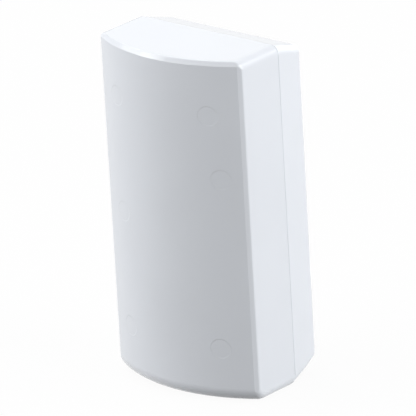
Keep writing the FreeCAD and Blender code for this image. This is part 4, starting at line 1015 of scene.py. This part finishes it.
    def _solder(self) -> None:
        """Run the small solder joints at every foot and lead."""
        shape = bmesh.new()
        board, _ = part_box("circuit_board")
        for part, half in (("tamper_switch_body", 0.0018), ("learn_button_body", 0.0018)):
            low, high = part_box(part)
            middle = (low.z + high.z) / 2
            for x in (low.x, high.x):
                for side in (-1, 1):
                    add_pill(shape, Vector((x, board.y, middle + side * half)), Vector((0.0007, 0.0004, 0.0009)))
        for part in ("chip_capacitors", "chip_resistors"):
            low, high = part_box(part)
            for step in (-1, 0, 1):
                for z in (low.z, high.z):
                    add_pill(shape, Vector(((low.x + high.x) / 2 + step * 0.0023, board.y, z)),
                             Vector((0.0011, 0.0006, 0.0005)))
        for part, count in (("microcontroller", 6), ("voltage_regulator", 2)):
            low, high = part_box(part)
            pitch = 0.00127
            for number in range(count):
                z = (low.z + high.z) / 2 + (number - (count - 1) / 2) * pitch
                for x in (low.x, high.x):
                    add_pill(shape, Vector((x, board.y, z)), Vector((0.0006, 0.00034, 0.0005)))
        for part, spread in (("reed_switch_leads", 0.00025), ("antenna_coil", 0.00035)):
            low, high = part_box(part)
            if part == "antenna_coil":
                ends = [(low.x + spread, (low.z + high.z) / 2), (high.x - spread, (low.z + high.z) / 2)]
            else:
                ends = [((low.x + high.x) / 2, low.z + spread), ((low.x + high.x) / 2, high.z - spread)]
            for x, z in ends:
                add_pill(shape, Vector((x, board.y, z)), Vector((0.0016, 0.0008, 0.0016)), 12, 8)
        solder = Metal((0.76, 0.76, 0.75), 0.2, stain=0.06)
        self.bench.piece("solder_joints", shape, solder.material("solder"), Body.BASE, "circuit_board")


# Studio


@dataclass(frozen=True)
class Softbox:
    """One flat square lamp that looks at the part."""

    name: str
    azimuth: float
    elevation: float
    size: float
    power: float
    distance: float = 0.9
    colour: Colour = (1.0, 1.0, 1.0)

    def hang(self) -> None:
        """Put the lamp up, turned to the middle of the part."""
        turn, rise = math.radians(self.azimuth), math.radians(self.elevation)
        away = Vector((math.sin(turn) * math.cos(rise), -math.cos(turn) * math.cos(rise), math.sin(rise)))
        light = bpy.data.lights.new(self.name, "AREA")
        light.shape = "SQUARE"
        light.size = self.size
        light.energy = self.power
        light.color = self.colour
        lamp = bpy.data.objects.new(self.name, light)
        lamp.location = away * self.distance
        lamp.rotation_mode = "QUATERNION"
        lamp.rotation_quaternion = (-away).to_track_quat("-Z", "Y")
        bpy.context.scene.collection.objects.link(lamp)
        LOG.info("lamp %s", self.name)


@dataclass(frozen=True)
class Camera:
    """The photograph's point of view: a long lens at the right of the front, a little above and rolled."""

    azimuth: float = 41.36
    elevation: float = 20.3
    roll: float = 3.30
    lens: float = 591.8
    distance: float = 1.45
    aim: tuple[float, float, float] = (0.0, -0.0086, 0.00015)
    shift_right: float = 0.0018870
    shift_up: float = 0.0018446

    def set_up(self) -> None:
        """Create the camera and make it the scene's own."""
        turn, rise, roll = (math.radians(angle) for angle in (self.azimuth, self.elevation, self.roll))
        back = Vector((math.sin(turn) * math.cos(rise), -math.cos(turn) * math.cos(rise), math.sin(rise)))
        level = Vector((math.cos(turn), math.sin(turn), 0))
        upright = back.cross(level)
        right = math.cos(roll) * level - math.sin(roll) * upright
        up = math.sin(roll) * level + math.cos(roll) * upright
        target = Vector(self.aim) - right * self.shift_right - up * self.shift_up
        data = bpy.data.cameras.new("photo_camera")
        data.sensor_width = 36.0
        data.lens = self.lens
        data.clip_start, data.clip_end = 0.05, 20.0
        camera = bpy.data.objects.new("photo_camera", data)
        camera.matrix_world = Matrix.Translation(target + back * self.distance) @ Matrix(
            (right, up, back)).transposed().to_4x4()
        bpy.context.scene.collection.objects.link(camera)
        bpy.context.scene.camera = camera


@dataclass
class Studio:
    """White floor, white surroundings and the lamps."""

    floor_z: float
    ambient: float = 0.2
    seen_floor: Colour = (0.86, 0.86, 0.86)
    bounce_floor: Colour = (0.08, 0.08, 0.08)
    shadow_share: float = 0.06
    lamps: tuple[Softbox, ...] = (
        Softbox("left_box", -52.0, 20.0, 0.56, 2.6),
        Softbox("front_box", -30.0, 5.0, 0.7, 4.45),
        Softbox("high_front_box", -5.0, 45.0, 0.7, 0.6),
        Softbox("high_left_box", -90.0, 60.0, 0.7, 3.3),
        Softbox("rear_left_box", -130.0, 40.0, 0.7, 0.63),
        Softbox("rear_box", 180.0, 15.0, 0.7, 1.3),
        Softbox("right_box", 105.0, 10.0, 0.7, 9.2),
        Softbox("small_back_box", 150.0, 20.0, 0.4, 1.0),
    )

    def build(self) -> None:
        """Make the floor, the surroundings and the lamps."""
        self._floor()
        self._surroundings()
        for lamp in self.lamps:
            lamp.hang()
        bpy.context.scene.view_settings.view_transform = "Standard"

    @staticmethod
    def _seen(recipe: Recipe) -> Signal:
        """Mark the rays that look at something: the camera's, also through glass, and those of gloss."""
        path = recipe.add("ShaderNodeLightPath")
        camera, through, glossy = (
            Signal(recipe, path.outputs[name]) for name in ("Is Camera Ray", "Is Transmission Ray", "Is Glossy Ray"))
        return camera.either(through).either(glossy)

    def _floor(self) -> None:
        """Lay the white floor that the part stands on."""
        shape = bmesh.new()
        bmesh.ops.create_circle(shape, cap_ends=True, segments=96, radius=3.0,
                                matrix=Matrix.Translation((0, 0, self.floor_z)))
        mesh = bpy.data.meshes.new("studio_floor")
        shape.to_mesh(mesh)
        shape.free()
        floor = bpy.data.objects.new("studio_floor", mesh)
        bpy.context.scene.collection.objects.link(floor)
        recipe = Recipe("floor_paper")
        paper = recipe.add("ShaderNodeBsdfDiffuse", None, {"Color": self.seen_floor})
        white = recipe.add("ShaderNodeEmission", None, {"Color": (1, 1, 1), "Strength": 1.0})
        bright = recipe.add("ShaderNodeMixShader", None, {
            0: 1 - self.shadow_share, 1: paper.outputs[0], 2: white.outputs[0]})
        dim = recipe.add("ShaderNodeBsdfDiffuse", None, {"Color": self.bounce_floor})
        blend = recipe.add("ShaderNodeMixShader", None, {
            0: self._seen(recipe), 1: dim.outputs[0], 2: bright.outputs[0]})
        recipe.close("ShaderNodeOutputMaterial", blend.outputs[0])
        mesh.materials.append(recipe.owner)
        floor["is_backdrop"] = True

    def _surroundings(self) -> None:
        """Make the world white to look at and dimmer as a light."""
        world = bpy.data.worlds.new("white_room")
        bpy.context.scene.world = world
        room = Recipe(world)
        dim, bright = (room.add("ShaderNodeBackground", None, {"Color": (1, 1, 1), "Strength": strength})
                       for strength in (self.ambient, 1.0))
        blend = room.add("ShaderNodeMixShader", None, {0: self._seen(room), 1: dim.outputs[0], 2: bright.outputs[0]})
        room.close("ShaderNodeOutputWorld", blend.outputs[0])


def main() -> None:
    """Build the dressed sensor and its studio."""
    logging.basicConfig(level=logging.INFO, format="%(name)s: %(message)s")
    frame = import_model()
    cad_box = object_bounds()
    Camera().set_up()
    bench = Workbench(frame)
    for assembly in (Housing(bench), Battery(bench), Board(bench), Components(bench), Studio(cad_box[0].z)):
        LOG.info("building %s", type(assembly).__name__)
        assembly.build()


if __name__ == "__main__":
    main()
